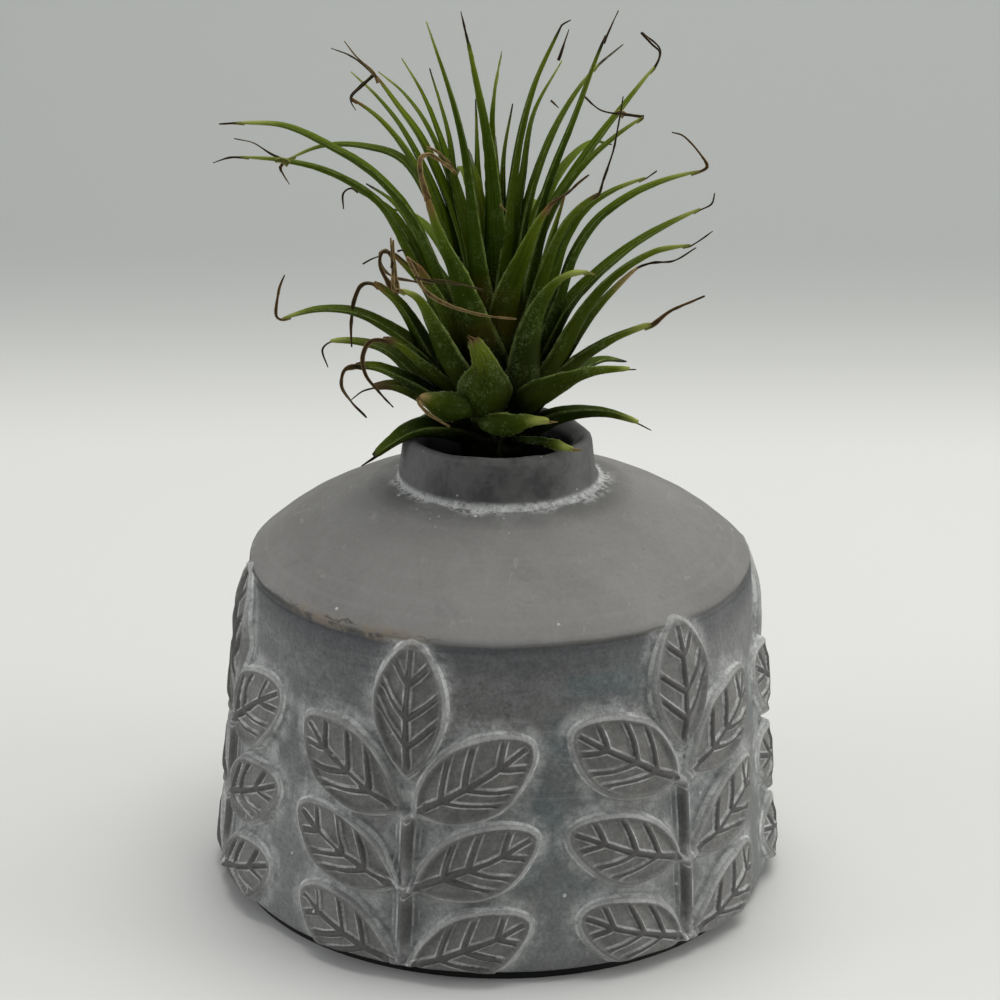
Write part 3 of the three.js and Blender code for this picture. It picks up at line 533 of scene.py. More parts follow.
def outline_map(length, width):
    """Signed distance to a leaf's outline, positive inside."""
    along = np.arange(-MAP_BEFORE, length + MAP_BEFORE + MAP_STEP, MAP_STEP)
    aside = np.arange(-MAP_SIDE, MAP_SIDE + MAP_STEP, MAP_STEP)
    grid = np.stack(np.meshgrid(along, aside, indexing="ij"), -1).reshape(-1, 2)
    t = np.concatenate([np.linspace(0, 1, 60) ** 1.6 * 0.5, 1 - np.linspace(1, 0, 60)[1:] ** 1.6 * 0.5])
    half = relief_half(t, width)
    outline = np.concatenate([np.stack([t * length, half], 1), np.stack([t * length, -half], 1)[::-1]])
    away = to_line(grid, outline)
    inside = np.abs(grid[:, 1]) < relief_half(grid[:, 0] / length, width)
    inside &= (grid[:, 0] > 0) & (grid[:, 0] < length)
    return np.where(inside, away, -away).reshape(len(along), len(aside))


def look_up(field, along, aside):
    x = np.clip((along + MAP_BEFORE) / MAP_STEP, 0, field.shape[0] - 1.001)
    y = np.clip((aside + MAP_SIDE) / MAP_STEP, 0, field.shape[1] - 1.001)
    i, j = x.astype(int), y.astype(int)
    fx, fy = x - i, y - j
    low = field[i, j] * (1 - fy) + field[i, j + 1] * fy
    high = field[i + 1, j] * (1 - fy) + field[i + 1, j + 1] * fy
    return low * (1 - fx) + high * fx


def vein_edge(x, y):
    """Distance outside the edge of the nearest rib or vein; x, y on a leaf LEAF_UNIT long, y > 0 steep."""
    side = np.abs(y)
    edge = side - (RIB_HALF - RIB_TAPER * x) + 4 * np.maximum(0, x - RIB_END)
    for start, a1, b1, a2, b2 in VEINS:
        a = np.where(y > 0, a1, a2)
        b = np.where(y > 0, b1, b2)
        ahead = x - (start + a * side + b * side ** 2)
        away = np.abs(ahead) / np.sqrt(1 + (a + 2 * b * side) ** 2)
        edge = np.minimum(edge, away - (VEIN_HALF - VEIN_TAPER * side))
    return edge


def vein_field(t, x, y):
    """The same distance as vein_edge, in a material."""
    side = t.absolute(y)
    steep = t.math("GREATER_THAN", y, 0.0)
    rib = t.plus(t.minus(side, RIB_HALF), t.times(x, RIB_TAPER))
    edge = t.plus(rib, t.times(t.most(t.minus(x, RIB_END), 0.0), 4.0))
    square = t.times(side, side)
    for start, a1, b1, a2, b2 in VEINS:
        a = t.scaled(steep, a1 - a2, a2)
        b = t.scaled(steep, b1 - b2, b2)
        ahead = t.absolute(t.minus(x, start, t.times(a, side), t.times(b, square)))
        slope = t.plus(a, t.times(b, side, 2.0))
        away = t.math("DIVIDE", ahead, t.math("SQRT", t.scaled(slope, slope, 1.0)))
        edge = t.math("MINIMUM", edge, t.scaled(side, VEIN_TAPER, t.minus(away, VEIN_HALF)))
    return edge


_maps = {}


def wall_radius(z):
    return WALL_FOOT + (WALL_TOP - WALL_FOOT) * (z - FOOT_Z) / (SHOULDER_Z - FOOT_Z)


def relief(azimuth, z):
    """The relief on the wall at azimuths in degrees and heights: how far it stands out, and a set of
    places in it: signed distance to the nearest outline, place on that leaf, distances to the stalk."""
    radius = wall_radius(z)
    sprig = 360 / SPRIGS
    turn = (azimuth - SPRIG_AZ + sprig / 2) / sprig
    index = np.floor(turn)
    local = (turn - index - 0.5) * sprig
    lift = np.array(SPRIG_LIFT)[index.astype(int) % SPRIGS]
    s = np.radians(local) * radius
    ring = np.stack([s * 0.16 + index * 7.3, z * 0.16, index * 0 + 2.0], -1)
    s = s + 0.30 * noise(ring, 1.0)
    z = z + 0.30 * noise(ring, 1.0, 9.0)
    high = np.zeros_like(s)
    rim = np.full_like(s, -9.0)
    leaf_x = np.zeros_like(s)
    leaf_y = np.full_like(s, 9.0)
    for side, joint, gain, rise, length, width in RELIEF_LEAVES:
        key = (length, width)
        if key not in _maps:
            _maps[key] = outline_map(length, width)
        lean = math.radians(rise)
        dx = (s - side * JOINT_ASIDE) * (side if side else 1)
        dz = z - joint - gain * lift
        along = dx * math.cos(lean) + dz * math.sin(lean)
        aside = -dx * math.sin(lean) + dz * math.cos(lean)
        near = (along > -MAP_BEFORE) & (along < length + MAP_BEFORE) & (np.abs(aside) < MAP_SIDE)
        signed = np.full_like(s, -9.0)
        signed[near] = look_up(_maps[key], along[near], aside[near])
        steep = np.where(lift > 0.45, 1.0, -1.0) if side == 0 else 1.0
        x = along * LEAF_UNIT / length
        y = aside * steep
        edge = vein_edge(x, y)
        dome = PANEL_DOME * smooth(1.9, 4.6, signed)
        here = RIM_HIGH * smooth(-0.85, 0.95, signed) - (RIM_HIGH - PANEL_HIGH) * smooth(1.0, 1.9, signed)
        here = here + dome
        rounded = np.sqrt(np.clip(1 - (1 + np.clip(edge, -0.55, 0) / 0.55) ** 2, 0, 1))
        ridge = PANEL_HIGH + (RIB_HIGH - PANEL_HIGH) * rounded + dome
        here = np.where((edge < 0) & (signed > 0.5), np.maximum(here, ridge), here)
        here = here * (1 - 0.62 * smooth(0.60, 1.0, along / length))
        here = here * (1 - 0.35 * smooth(0.22, 0.0, along / length))
        high = np.maximum(high, here * near)
        nearer = signed > rim
        rim = np.where(nearer, signed, rim)
        leaf_x = np.where(nearer, x, leaf_x)
        leaf_y = np.where(nearer, y, leaf_y)
    # the stalk between its flat margins; the ribs of the upper pair meet above it
    aside = np.abs(s)
    top = STALK_TOP + 2.8 * lift - 1.2
    half = STALK_HALF - 0.3 * np.clip(z / STALK_TOP, 0, 1)
    up = smooth(top + 0.5, top - 0.5, z)
    inward = np.clip(aside - half, -half, 0) / half + 1
    body = STALK_HIGH * np.sqrt(np.clip(1 - inward ** 2, 0, 1)) * up
    margin = 0.5 * smooth(2.1, 1.5, aside) * up
    high = np.maximum(high, np.maximum(body, margin))
    # the ribs of the pairs run on down into a V over the stalk
    arm = np.full_like(s, 3.0)
    for joint, gain in JOINTS:
        v = np.abs(z - (joint + gain * lift - 0.9) - 0.62 * aside) * 0.85
        rise = RIB_HIGH * np.sqrt(np.clip(1 - (v / 0.8) ** 2, 0, 1)) * smooth(3.4, 1.8, aside)
        high = np.maximum(high, rise)
        arm = np.minimum(arm, v)
    high = high * smooth(1.8, 3.3, z) * smooth(64.6, 62.8, z)
    places = {
        "rim": np.maximum(rim, -3.5),
        "leaf_x": leaf_x,
        "leaf_y": leaf_y,
        "stalk": aside,
        "arm": arm,
        "over": z - 2.8 * lift,
    }
    return high, places


def vase_profile():
    """The turned profile in fine steps, without its two ends on the axis."""
    wall = np.linspace(FOOT_Z, SHOULDER_Z, WALL_ROWS)[1:-1]
    rows = FOOT + [(wall_radius(z), z) for z in wall] + SHOULDER
    profile = [rows[0]]
    for a, b in zip(rows, rows[1:]):
        outside = b[1] > 61 and b[0] > 14 or (b[1] < 3.2 and b[0] > 50)
        limit = 0.6 if outside and a[1] > 61 else (0.3 if outside else 6.0)
        if 3.0 <= a[1] < 61.6 and b[1] <= 61.8 and a[0] > 46.9:
            limit = 9.0
        parts = max(1, math.ceil(math.hypot(b[0] - a[0], b[1] - a[1]) / limit))
        for f in np.arange(1, parts + 1) / parts:
            profile.append((a[0] + (b[0] - a[0]) * f, a[1] + (b[1] - a[1]) * f))
    return np.array(profile)[1:-1]


def vase_points(inner):
    az = np.broadcast_to(np.arange(AROUND) * 360.0 / AROUND, (len(inner), AROUND)).copy()
    r = np.broadcast_to(inner[:, :1], az.shape).copy()
    z = np.broadcast_to(inner[:, 1:], az.shape).copy()
    outer = np.arange(len(inner))
    neck_row = int(np.argmax(inner[:, 1]))
    walls = (outer < neck_row) & (inner[:, 1] < 66) & (inner[:, 0] > 44) & (inner[:, 1] > 0.05)
    lean = math.atan2(WALL_FOOT - WALL_TOP, SHOULDER_Z - FOOT_Z)
    a = np.radians(az)
    base = np.stack([r * np.sin(a), -r * np.cos(a), z], -1)
    high = np.zeros_like(az)
    high[walls] = relief(az[walls].ravel(), z[walls].ravel())[0].reshape(az[walls].shape)
    uneven = 0.16 * noise(base, 0.075) + 0.07 * noise(base, 0.22, 5.0)
    r = r + (high + uneven * (z > 0.6)) * math.cos(lean)
    z = z + high * math.sin(lean)
    # hand-worked lip
    lip = smooth(81.5, 86.6, z) * (outer < neck_row + 14)[:, None]
    turn = np.stack([np.sin(a) * 3.2, np.cos(a) * 3.2, a * 0], -1)
    wave = 0.19 * np.sin(2 * a + 0.7) + 0.34 * noise(turn, 1.0, 4.0)
    z = z + lip * np.clip(wave - 0.22, -0.8, 0.0)
    turn = np.stack([np.sin(a) * 5, np.cos(a) * 5, a * 0 + 3], -1)
    r = r + lip * 0.22 * noise(turn, 1.0, 1.0)
    points = np.stack([r * np.sin(a), -r * np.cos(a), z], -1).reshape(-1, 3)
    on_neck = smooth(77.2, 80.0, points[:, 2]) * (np.hypot(points[:, 0], points[:, 1]) < 20)
    points[:, 0] += NECK_ASIDE * on_neck
    return np.vstack([points, [[0, 0, 0.0]], [[0, 0, FLOOR_Z]]])


def vase():
    inner = vase_profile()
    points = vase_points(inner)
    quads, fans = shell(len(inner), AROUND)
    thing = new_mesh("cement_vase", points, quads.tolist() + fans)
    full = np.zeros(len(points) * 3)
    thing.data.vertices.foreach_get("normal", full)
    full = full.reshape(-1, 3)
    # fewer triangles, with the normals of the full mesh
    thing.modifiers.new("fewer", "DECIMATE").ratio = VASE_TRIANGLES / (2 * len(quads) + len(fans))
    graph = bpy.context.evaluated_depsgraph_get()
    mesh = bpy.data.meshes.new_from_object(thing.evaluated_get(graph))
    thing.modifiers.clear()
    thing.data = mesh
    mesh.shade_smooth()
    co = np.zeros(len(mesh.vertices) * 3)
    mesh.vertices.foreach_get("co", co)
    co = co.reshape(-1, 3) / MM
    for key, values in vase_masks(co).items():
        put(mesh, key, values)
    nearest = KDTree(len(points))
    for i, point in enumerate(points):
        nearest.insert(point, i)
    nearest.balance()
    mesh.normals_split_custom_set_from_vertices([tuple(full[nearest.find(point)[1]]) for point in co])
    mesh.materials.append(cement())
    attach(thing, "root")
    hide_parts("vase")


def vase_masks(co):
    radius = np.hypot(co[:, 0], co[:, 1])
    az = np.degrees(np.arctan2(co[:, 0], -co[:, 1]))
    z = co[:, 2]
    _, places = relief(az, np.clip(z, 0.4, 67))
    places["rim"] = np.where((radius > 43.5) & (z < 66.5), places["rim"], -3.5)
    ceiling = np.interp(radius, [14.2, 24.0, 38.5, 42.4, 43.5], [75.8, 71.8, 64.0, 60.0, 58.0])
    # inside: where the vase is painted near-black as shade, in the mouth (narrower where its far side is lit)
    # and in the hollow under the shoulder and within the wall
    lit = smooth(35, 75, az) + smooth(-150, -170, az)
    inside = (np.hypot(co[:, 0] - NECK_ASIDE, co[:, 1]) < 15.9 - 1.9 * lit) & (z < 86.95 - 2.6 * lit)
    inside |= (radius < 42.4) & (z < ceiling + 1.0)
    inside |= (z < 60) & (radius < 48.0 - 0.084 * (z - 10))
    places["inside"] = (inside & (z > 1)).astype(float)
    return places


def cement():
    t = Tree("cement")
    rim, leaf_x, leaf_y, stalk, arm, over, inside = t.attributes("rim leaf_x leaf_y stalk arm over inside")
    axes = t.add("ShaderNodeSeparateXYZ", {"Vector": t.here})
    x, y, z = (t.times(axes.outputs[n], 1000.0) for n in "XYZ")
    radius = t.math("SQRT", t.plus(t.times(x, x), t.times(y, y)))
    fine, middle, broad = (t.noise(t.here, scale, detail) for scale, detail in ((1100, 4), (170, 4), (34, 3)))
    # smooth turned shoulder, darker round the neck, and darker towards its left and right sides as painted
    # shade
    turned = t.noise(t.add("ShaderNodeCombineXYZ", {"X": radius, "Y": z, "Z": 0.0}).outputs[0], 0.9, 3)
    marks = t.noise(t.stretched(420, 160, 200), 1.0, 4, 0.6, 1.2)
    scratches = t.noise(t.stretched(130, 480, 200), 1.0, 4, 0.6, 1.6)
    cloudy = t.spots(62, 6, 0.40, 0.66, rough=0.72, distort=0.6)
    plain = t.layers(
        t.mix(t.step(broad, 0.3, 0.72), (0.150, 0.147, 0.141), (0.184, 0.181, 0.174)),
        ((0.214, 0.212, 0.205), cloudy, 0.36),
        ((0.110, 0.110, 0.108), t.spots(120, 6, 0.44, 0.34, rough=0.75, distort=0.8), 0.28),
        # darker towards the left and the right side of the shoulder: painted shade
        ((0.095, 0.094, 0.090), t.plus(t.step(x, 10.0, -45.0, 0.0, 0.16), t.step(x, 24.0, 46.0, 0.0, 0.20))),
        ((0.225, 0.225, 0.218), t.step(middle, 0.5, 0.78), 0.22),
        ((0.24, 0.235, 0.225), t.step(turned, 0.5, 0.7), 0.12),
        ((0.33, 0.33, 0.31), t.step(marks, 0.63, 0.70), 0.22),
        ((0.09, 0.088, 0.082), t.step(scratches, 0.64, 0.72), 0.35),
        ((0.085, 0.085, 0.082), t.step(radius, 27.0, 20.5), t.step(cloudy, 0.9, 0.1, 0.25, 0.55)),
    )
    # neck: darker than the shoulder as painted shade, lighter at its left and right sides as painted light,
    # with blotches and scoring
    scored = t.noise(t.stretched(60, 60, 900), 1.0, 4, 0.6)
    neck = t.times(t.step(z, 78.2, 79.0), t.step(radius, 20.5, 19.5))
    shaded_blotchy_neck = t.layers(
        t.mix(t.step(middle, 0.38, 0.62), (0.042, 0.043, 0.042), (0.078, 0.078, 0.076)),
        ((0.104, 0.105, 0.102), t.spots(260, 6, 0.44, 0.62, rough=0.75, distort=0.6), 0.38),
        # lighter at the left and the right side of the neck: painted light
        ((0.128, 0.129, 0.126), t.plus(t.step(x, -9.0, -16.5, 0.0, 0.45), t.step(x, 9.0, 16.0, 0.0, 0.55))),
        ((0.135, 0.135, 0.132), t.step(scored, 0.52, 0.72, 0.0, 0.20)),
    )
    plain = t.mix(neck, plain, shaded_blotchy_neck)
    # wall between the leaves: dark, washed with blue-green, scuffed sideways
    smear = t.noise(t.stretched(34, 34, 300), 1.0, 5, 0.65, 0.5)
    mottled = t.spots(420, 5, 0.45, 0.62, rough=0.75)
    # lighter towards the right and the left side of the wall and its leaf panels: painted light
    right_side_light = t.times(t.step(x, 18.0, 36.0, 0.0, 0.40), t.step(x, 54.0, 40.0, 0.35, 1.0))
    painted_side_light = t.plus(right_side_light, t.step(x, -26.0, -48.0, 0.0, 0.22))
    teal = t.times(t.spots(46, 4, 0.46, 0.64, rough=0.6, distort=0.5), t.step(x, -30.0, -6.0, 0.15, 0.95))
    stone = t.layers(
        t.mix(t.step(broad, 0.32, 0.68), (0.092, 0.092, 0.094), (0.130, 0.128, 0.125)),
        ((0.086, 0.107, 0.110), teal),
        ((0.205, 0.210, 0.208), t.spots(120, 5, 0.46, 0.72, rough=0.7), 0.45),
        ((0.250, 0.260, 0.255), t.step(smear, 0.54, 0.74), 0.40),
        ((0.052, 0.055, 0.060), t.step(smear, 0.42, 0.30), 0.40),
        ((0.182, 0.192, 0.188), mottled, 0.34),
        ((0.048, 0.052, 0.054), t.spots(640, 4, 0.42, 0.34, rough=0.7, distort=0.4), 0.40),
        ((0.200, 0.204, 0.199), painted_side_light),
        ((0.165, 0.171, 0.167), t.step(z, 44.0, 8.0, 0.0, 0.50)),
    )
    # leaf panels, dark smooth ribs and veins
    edge = vein_field(t, leaf_x, leaf_y)
    within = t.step(rim, 1.0, 2.2)
    panel = t.layers(
        t.mix(t.step(middle, 0.35, 0.7), (0.112, 0.110, 0.106), (0.148, 0.145, 0.138)),
        ((0.19, 0.19, 0.185), t.step(fine, 0.55, 0.75), 0.25),
        ((0.172, 0.170, 0.163), t.step(z, 40.0, 5.0, 0.0, 0.35)),
        # painted light on the sides, on the panels too
        ((0.205, 0.204, 0.198), painted_side_light, 0.8),
        ((0.205, 0.207, 0.202), mottled, 0.22),
        ((0.066, 0.064, 0.062), t.step(edge, 0.10, -0.12), within, 0.85),
    )
    # the stalk, and a darker band under the shoulder
    on_leaf = t.step(rim, -0.15, 0.3)
    off_leaf = t.minus(1.0, on_leaf)
    up_stalk = t.step(over, 30.6, 30.0)
    bar = t.times(t.step(stalk, 1.25, 1.05), up_stalk, off_leaf)
    joined = t.times(t.step(arm, 0.85, 0.7), t.step(stalk, 3.4, 2.4))
    under = t.times(t.step(z, 54.5, 61.5), t.spots(60, 3, 0.3, 0.6, 0.45, 0.8))
    stone = t.layers(
        t.mix(on_leaf, stone, panel),
        ((0.088, 0.086, 0.083), t.most(bar, joined), 0.85),
        ((0.066, 0.068, 0.071), under, off_leaf),
    )
    wall = t.times(t.step(z, 63.3, 62.6), t.step(radius, 44.0, 45.0))
    on_wall = t.most(wall, t.step(rim, 0.0, 0.2))
    # a worn line along the shoulder's edge, and an earth-brown stain on it, front left
    off_rim = t.step(rim, 0.1, -0.2)
    wander = t.scaled(t.noise(t.here, 90, 3), 1.8, -0.9)
    line = t.band(t.plus(z, wander), 62.9, 0.75)
    place_az = t.math("ARCTAN2", x, t.times(y, -1.0))
    left = t.times(t.step(place_az, -1.02, -0.80), t.step(place_az, -0.08, -0.46))
    stain = t.times(t.band(t.plus(z, t.times(wander, 1.5)), 63.4, 1.5), left)
    stain = t.times(stain, t.step(middle, 0.32, 0.55, 0.40, 0.85))
    crack = t.band(t.plus(z, t.times(t.noise(t.here, 330, 4, 0.7), 2.4)), 64.9, 0.24)
    colour = t.layers(
        t.mix(on_wall, plain, stone),
        ((0.040, 0.037, 0.033), line, t.spots(40, 2, 0.36, 0.56, 0.25, 0.95), off_rim, 0.75),
        ((0.178, 0.152, 0.119), stain, t.spots(360, 5, 0.38, 0.56, 0.10, 1.0, 0.75)),
        ((0.050, 0.043, 0.036), crack, left, t.spots(200, 3, 0.46, 0.60, 0.0, 0.75)),
    )
    # chalk: along the outlines, beside the veins and the stalk, in the pocket above it
    beside = t.times(t.band(edge, 0.14, 0.24), within)
    stalk_line = t.most(t.band(stalk, 1.40, 0.26), t.times(t.band(stalk, 2.30, 0.26), 0.8))
    stalk_line = t.times(stalk_line, up_stalk, t.step(rim, 0.5, -0.2))
    arm_line = t.times(t.band(arm, 0.92, 0.24), t.step(stalk, 3.2, 2.2))
    lines = t.most(t.times(t.band(rim, -0.05, 0.36), 1.3), beside, stalk_line, arm_line)
    lines = t.times(lines, t.spots(230, 4, 0.38, 0.62, 0.30, 1.0, 0.65), 0.80)
    halo = t.times(t.step(rim, -3.3, -0.6), off_rim, t.spots(210, 5, 0.36, 0.66, 0.15, 1.0, 0.75), 0.55)
    crest = t.times(t.band(rim, 0.50, 0.50), t.spots(110, 3, 0.32, 0.60, 0.35, 0.95), 0.60)
    pocket = t.times(t.band(over, 33.6, 3.4), t.step(stalk, 5.0, 2.0), t.step(rim, 0.2, -0.2))
    pocket = t.times(pocket, t.times(t.spots(380, 3, 0.3, 0.6, 0.3, 0.85), t.dots(520, 0.16, 0.34)))
    worn = t.times(t.most(lines, halo, crest, pocket), on_wall)
    # chalk ring and crumbs round the neck's foot, flecks on the neck, and specks
    spread = t.spots(75, 2, 0.42, 0.62, 19.6, 21.9)
    out = t.math("DIVIDE", t.minus(radius, 19.0), t.minus(spread, 19.0))
    ragged = t.scaled(t.noise(t.here, 420, 4, 0.7), -1.6, 20.15)
    tight = t.step(t.minus(radius, ragged), 0.15, -0.15, 0.0, 0.66)
    tight = t.times(tight, t.spots(900, 3, 0.36, 0.52, 0.35, 1.0, 0.7))
    crumbly = t.most(t.spots(640, 5, 0.47, 0.55, rough=0.75), tight)
    around_neck = t.times(t.step(out, 1.0, 0.0), t.step(radius, 17.9, 18.5), t.step(z, 79.6, 78.4))
    around_neck = t.times(around_neck, t.step(z, 75.0, 76.5), crumbly)
    flecks = t.times(neck, t.dots(640, 0.13, 0.07), t.spots(130, 3, 0.52, 0.60), 0.8)
    strewn = t.times(t.spots(95, 2, 0.48, 0.57), t.dots(560, 0.17, 0.10), t.step(radius, 19.5, 20.5))
    strewn = t.times(strewn, t.step(radius, 28.5, 24.0), t.step(z, 79.0, 78.0), 0.5)
    specks = t.times(t.dots(150, 0.065, 0.045), t.spots(75, 2, 0.50, 0.54), 0.85)
    colour = t.mix(t.most(worn, around_neck, flecks, strewn, specks), colour, (0.43, 0.44, 0.43))
    # grain, and painted shade: near-black inside the mouth and the hollow, and on the foot's band in the gap
    # under it
    gritty = t.spots(1500, 3, 0.34, 0.66, 0.86, 1.13, 0.75)
    grain = t.times(t.step(fine, 0.25, 0.75, 0.95, 1.04), t.scaled(t.minus(gritty, 1.0), on_wall, 1.0))
    grey = t.add("ShaderNodeCombineColor", {0: grain, 1: grain, 2: grain}).outputs[0]
    # near-black for the painted shade
    dark = (0.003, 0.003, 0.003)
    colour = t.layers(
        t.mix(1.0, colour, grey, "MULTIPLY"), (dark, inside), (dark, t.step(z, 2.15, 1.85, 0.0, 0.98)))
    height = t.times(t.plus(t.times(fine, 0.35), t.times(middle, 0.55)), t.step(z, 61.0, 64.5, 1.0, 0.16))
    return t.finish(colour, t.step(broad, 0.2, 0.8, 0.66, 0.84), 0.22, height, 0.00016, 0.5)


# Leaves
def around_axis(azimuth, reach, height, axis_x=0.0):
    a = np.radians(azimuth)
    return np.stack(np.broadcast_arrays(axis_x + reach * np.sin(a), -reach * np.cos(a), height), -1)


def spline(points, samples=40):
    """A centripetal Catmull-Rom line through points, finely sampled."""
    p = np.asarray(points, float)
    ends = np.vstack([2 * p[0] - p[1], p, 2 * p[-1] - p[-2]])
    out = []
    for i in range(len(p) - 1):
        a, b, c, d = ends[i:i + 4]
        t0, t1, t2 = (max(np.linalg.norm(v) ** 0.5, 1e-4) for v in (b - a, c - b, d - c))
        m1 = ((b - a) / t0 - (c - a) / (t0 + t1) + (c - b) / t1) * t1
        m2 = ((c - b) / t1 - (d - b) / (t1 + t2) + (d - c) / t2) * t1
        u = np.linspace(0, 1, samples, endpoint=False)[:, None]
        bend, turn = -3 * b + 3 * c - 2 * m1 - m2, 2 * b - 2 * c + m1 + m2
        out.append(b + m1 * u + bend * u ** 2 + turn * u ** 3)
    out.append(p[-1:])
    return np.vstack(out)


def run_of(line):
    return np.linalg.norm(np.diff(line, axis=0), axis=1)


def stations(line, count):
    """Points at even steps of a line's length, with unit tangents and how far along each lies."""
    run = np.concatenate([[0], np.cumsum(run_of(line))])
    wanted = np.linspace(0, 1, count) * run[-1]
    points = np.stack([np.interp(wanted, run, line[:, k]) for k in range(line.shape[1])], -1)
    return points, unit(np.gradient(points, wanted, axis=0)), wanted


class Body:
    """Collects closed tubes into one mesh, with attributes on the points."""

    def __init__(self, *names):
        self.points, self.faces = [], []
        self.values = {n: [] for n in names}
        self.count = 0

    def tube(self, rings, **values):
        rows, size, _ = rings.shape
        flat = rings.reshape(-1, 3)
        points = np.vstack([flat, rings[0].mean(0)[None], rings[-1].mean(0)[None]])
        quads, fans = shell(rows, size)
        a, b, c = (flat[quads[:, k]] for k in range(3))
        outward = a - np.repeat(rings.mean(1)[:-1], size, axis=0)
        flip = (np.cross(b - a, c - b) * outward).sum() < 0
        for face in quads.tolist() + fans:
            face = tuple(v + self.count for v in face)
            self.faces.append(face[::-1] if flip else face)
        self.points.append(points)
        for key, store in self.values.items():
            value = np.asarray(values[key], float)
            if value.ndim and value.shape[:2] == (rows, size):
                ends = np.stack([value[0].mean(0), value[-1].mean(0)])
                store.append(np.concatenate([value.reshape(rows * size, *value.shape[2:]), ends]))
            else:
                store.append(np.broadcast_to(value, (len(points), *value.shape)).copy())
        self.count += len(points)

    def object(self, name, material):
        values = {k: np.concatenate(v) for k, v in self.values.items()}
        thing = new_mesh(name, np.vstack(self.points), self.faces, values)
        thing.data.materials.append(material)
        return thing


# A leaf's cross section: points over the outer face, then back over the inner one
OUTER = np.linspace(-1, 1, 11)
INNER = np.linspace(1, -1, 9)[1:-1]
ACROSS = np.concatenate([OUTER, INNER])
IS_INNER = np.concatenate([OUTER * 0, INNER * 0 + 1])


def leaf_sections(leaf, sway):
    foot, line = leaf.foot, leaf.line
    # the middle line: up along the heart of the plant, then outward
    out = min(5.0, 0.55 * line[0][0] + 0.3)
    path = spline([(0.75 * out, foot - 6), (out, foot), *line])
    points, tangents, along = stations(path, max(24, int(run_of(path).sum() / 1.15)))
    length = along[-1]
    u = along / length
    middle = around_axis(leaf.azimuth, points[:, 0], RIM_Z + points[:, 1], PLANT_X)
    inward = around_axis(leaf.azimuth, -tangents[:, 1], tangents[:, 0])
    level = np.broadcast_to(around_axis(leaf.azimuth + 90, 1.0, 0.0), middle.shape)
    angle = np.radians(sway[1] * 16 * u)[:, None]
    sideways = level * np.cos(angle) + inward * np.sin(angle)
    inward = inward * np.cos(angle) - level * np.sin(angle)
    middle = middle + level * (sway[0] * 0.5 * np.sin(math.pi * u) ** 2)[:, None]
    sheath = leaf.sheath * SHEATH_WIDER - leaf.blade
    end = max(0.50, leaf.tip_width - 0.5) if leaf.tip else 0.16
    wide = leaf.blade * (1 - np.clip(u, 0, 1)) ** 0.9 + end + sheath * np.exp(-((along / SHEATH_LONG) ** 2))
    return middle, sideways, inward, wide * (0.55 + 0.45 * smooth(1.0, 0.97, u)), along


def bract_sections(line, face):
    """A short broad leaf through its stations."""
    middle, _, along = stations(spline([(x, y, RIM_Z + h, wide) for x, y, h, wide in line]), 30)
    wide = middle[:, 3] * (0.75 + 0.25 * smooth(1.0, 0.96, along / along[-1]))
    middle = middle[:, :3]
    tangents = unit(np.gradient(middle, along, axis=0))
    sideways = unit(np.cross(tangents, face))
    return middle, sideways, np.cross(tangents, sideways), wide, along


def blade_rings(middle, sideways, inward, wide, along, draw):
    deep = HOLLOW * wide
    thick = np.minimum(2.1 - 1.3 * (along / along[-1]) ** 0.7, wide * 0.55)
    v = ACROSS[None, :]
    outside = -deep[:, None] / 2 + (deep[:, None] + 0.2) * np.abs(v) ** 2.2
    body = thick[:, None] * (1 - np.abs(v) ** 3.2) ** 0.75 + 0.05
    n = outside + np.where(IS_INNER[None, :] > 0, body, 0.0)
    # the edges roll in a little where the leaf narrows
    w = wide[:, None] / 2 * v * (1 - 0.06 * np.abs(v) ** 3)
    ripple = 0.10 * noise(np.stack(np.broadcast_arrays(along[:, None] * 0.5, v * 1.6, draw * 40), -1), 1.0)
    n = n + ripple * (1 - IS_INNER[None, :] * 0.5) * np.minimum(1, wide[:, None] / 4)
    w = w + np.sign(v) * (np.abs(v) > 0.95) * 0.10 * noise(
        np.stack(np.broadcast_arrays(along[:, None] * 0.9, v * 3, draw * 40 + 7), -1), 1.0)
    return middle[:, None] + sideways[:, None] * w[..., None] + inward[:, None] * n[..., None]


def back_leaves():
    """Leaves behind, placed by rule with their own seeded draw."""
    state = SEED
    rows = []

    def draw():
        nonlocal state
        state = (state * 1664525 + 1013904223) % 4294967296
        return state / 4294967296

    def pick(pair, t):
        return pair[0] + (pair[1] - pair[0]) * t

    for i in range(BACK_LEAVES):
        tier = i / (BACK_LEAVES - 1)
        azimuth = BACK_MIDDLE + BACK_SPREAD * (((i * GOLDEN_TURN) % 360) / 180 - 1)
        foot = pick(BACK_FOOT, tier)
        reach = pick(BACK_REACH, 0.25 + 0.75 * draw())
        rise = pick(BACK_RISE, tier) + 4 * draw()
        line = [
            (9, foot + 0.45 * rise + 2),
            (reach * 0.5, foot + 0.85 * rise),
            (reach * 0.8, foot + 1.0 * rise),
            (reach, foot + (0.75 + 0.3 * draw()) * rise),
        ]
        rows.append((azimuth, foot, 5.2 + draw(), 9.5, "black", 4, line))
    return rows


def turned_share(span, rings, along, seed):
    """How far a leaf has turned, toward its end."""
    left = (along[-1] - along)[:, None] + 0.8 * noise(rings, 0.9, seed)
    return smooth(span * 1.25 + 0.3, span * 0.25, left)


def tip_path(leaf):
    end, before = np.array(leaf.line[-1], float), np.array(leaf.line[-2], float)
    back = end + (before - end) * 1.5 / np.linalg.norm(end - before)
    nodes = [(*node, leaf.azimuth)[:3] for node in (back, end, *leaf.tip)]
    return spline([around_axis(a, r, RIM_Z + h, PLANT_X) for r, h, a in nodes])


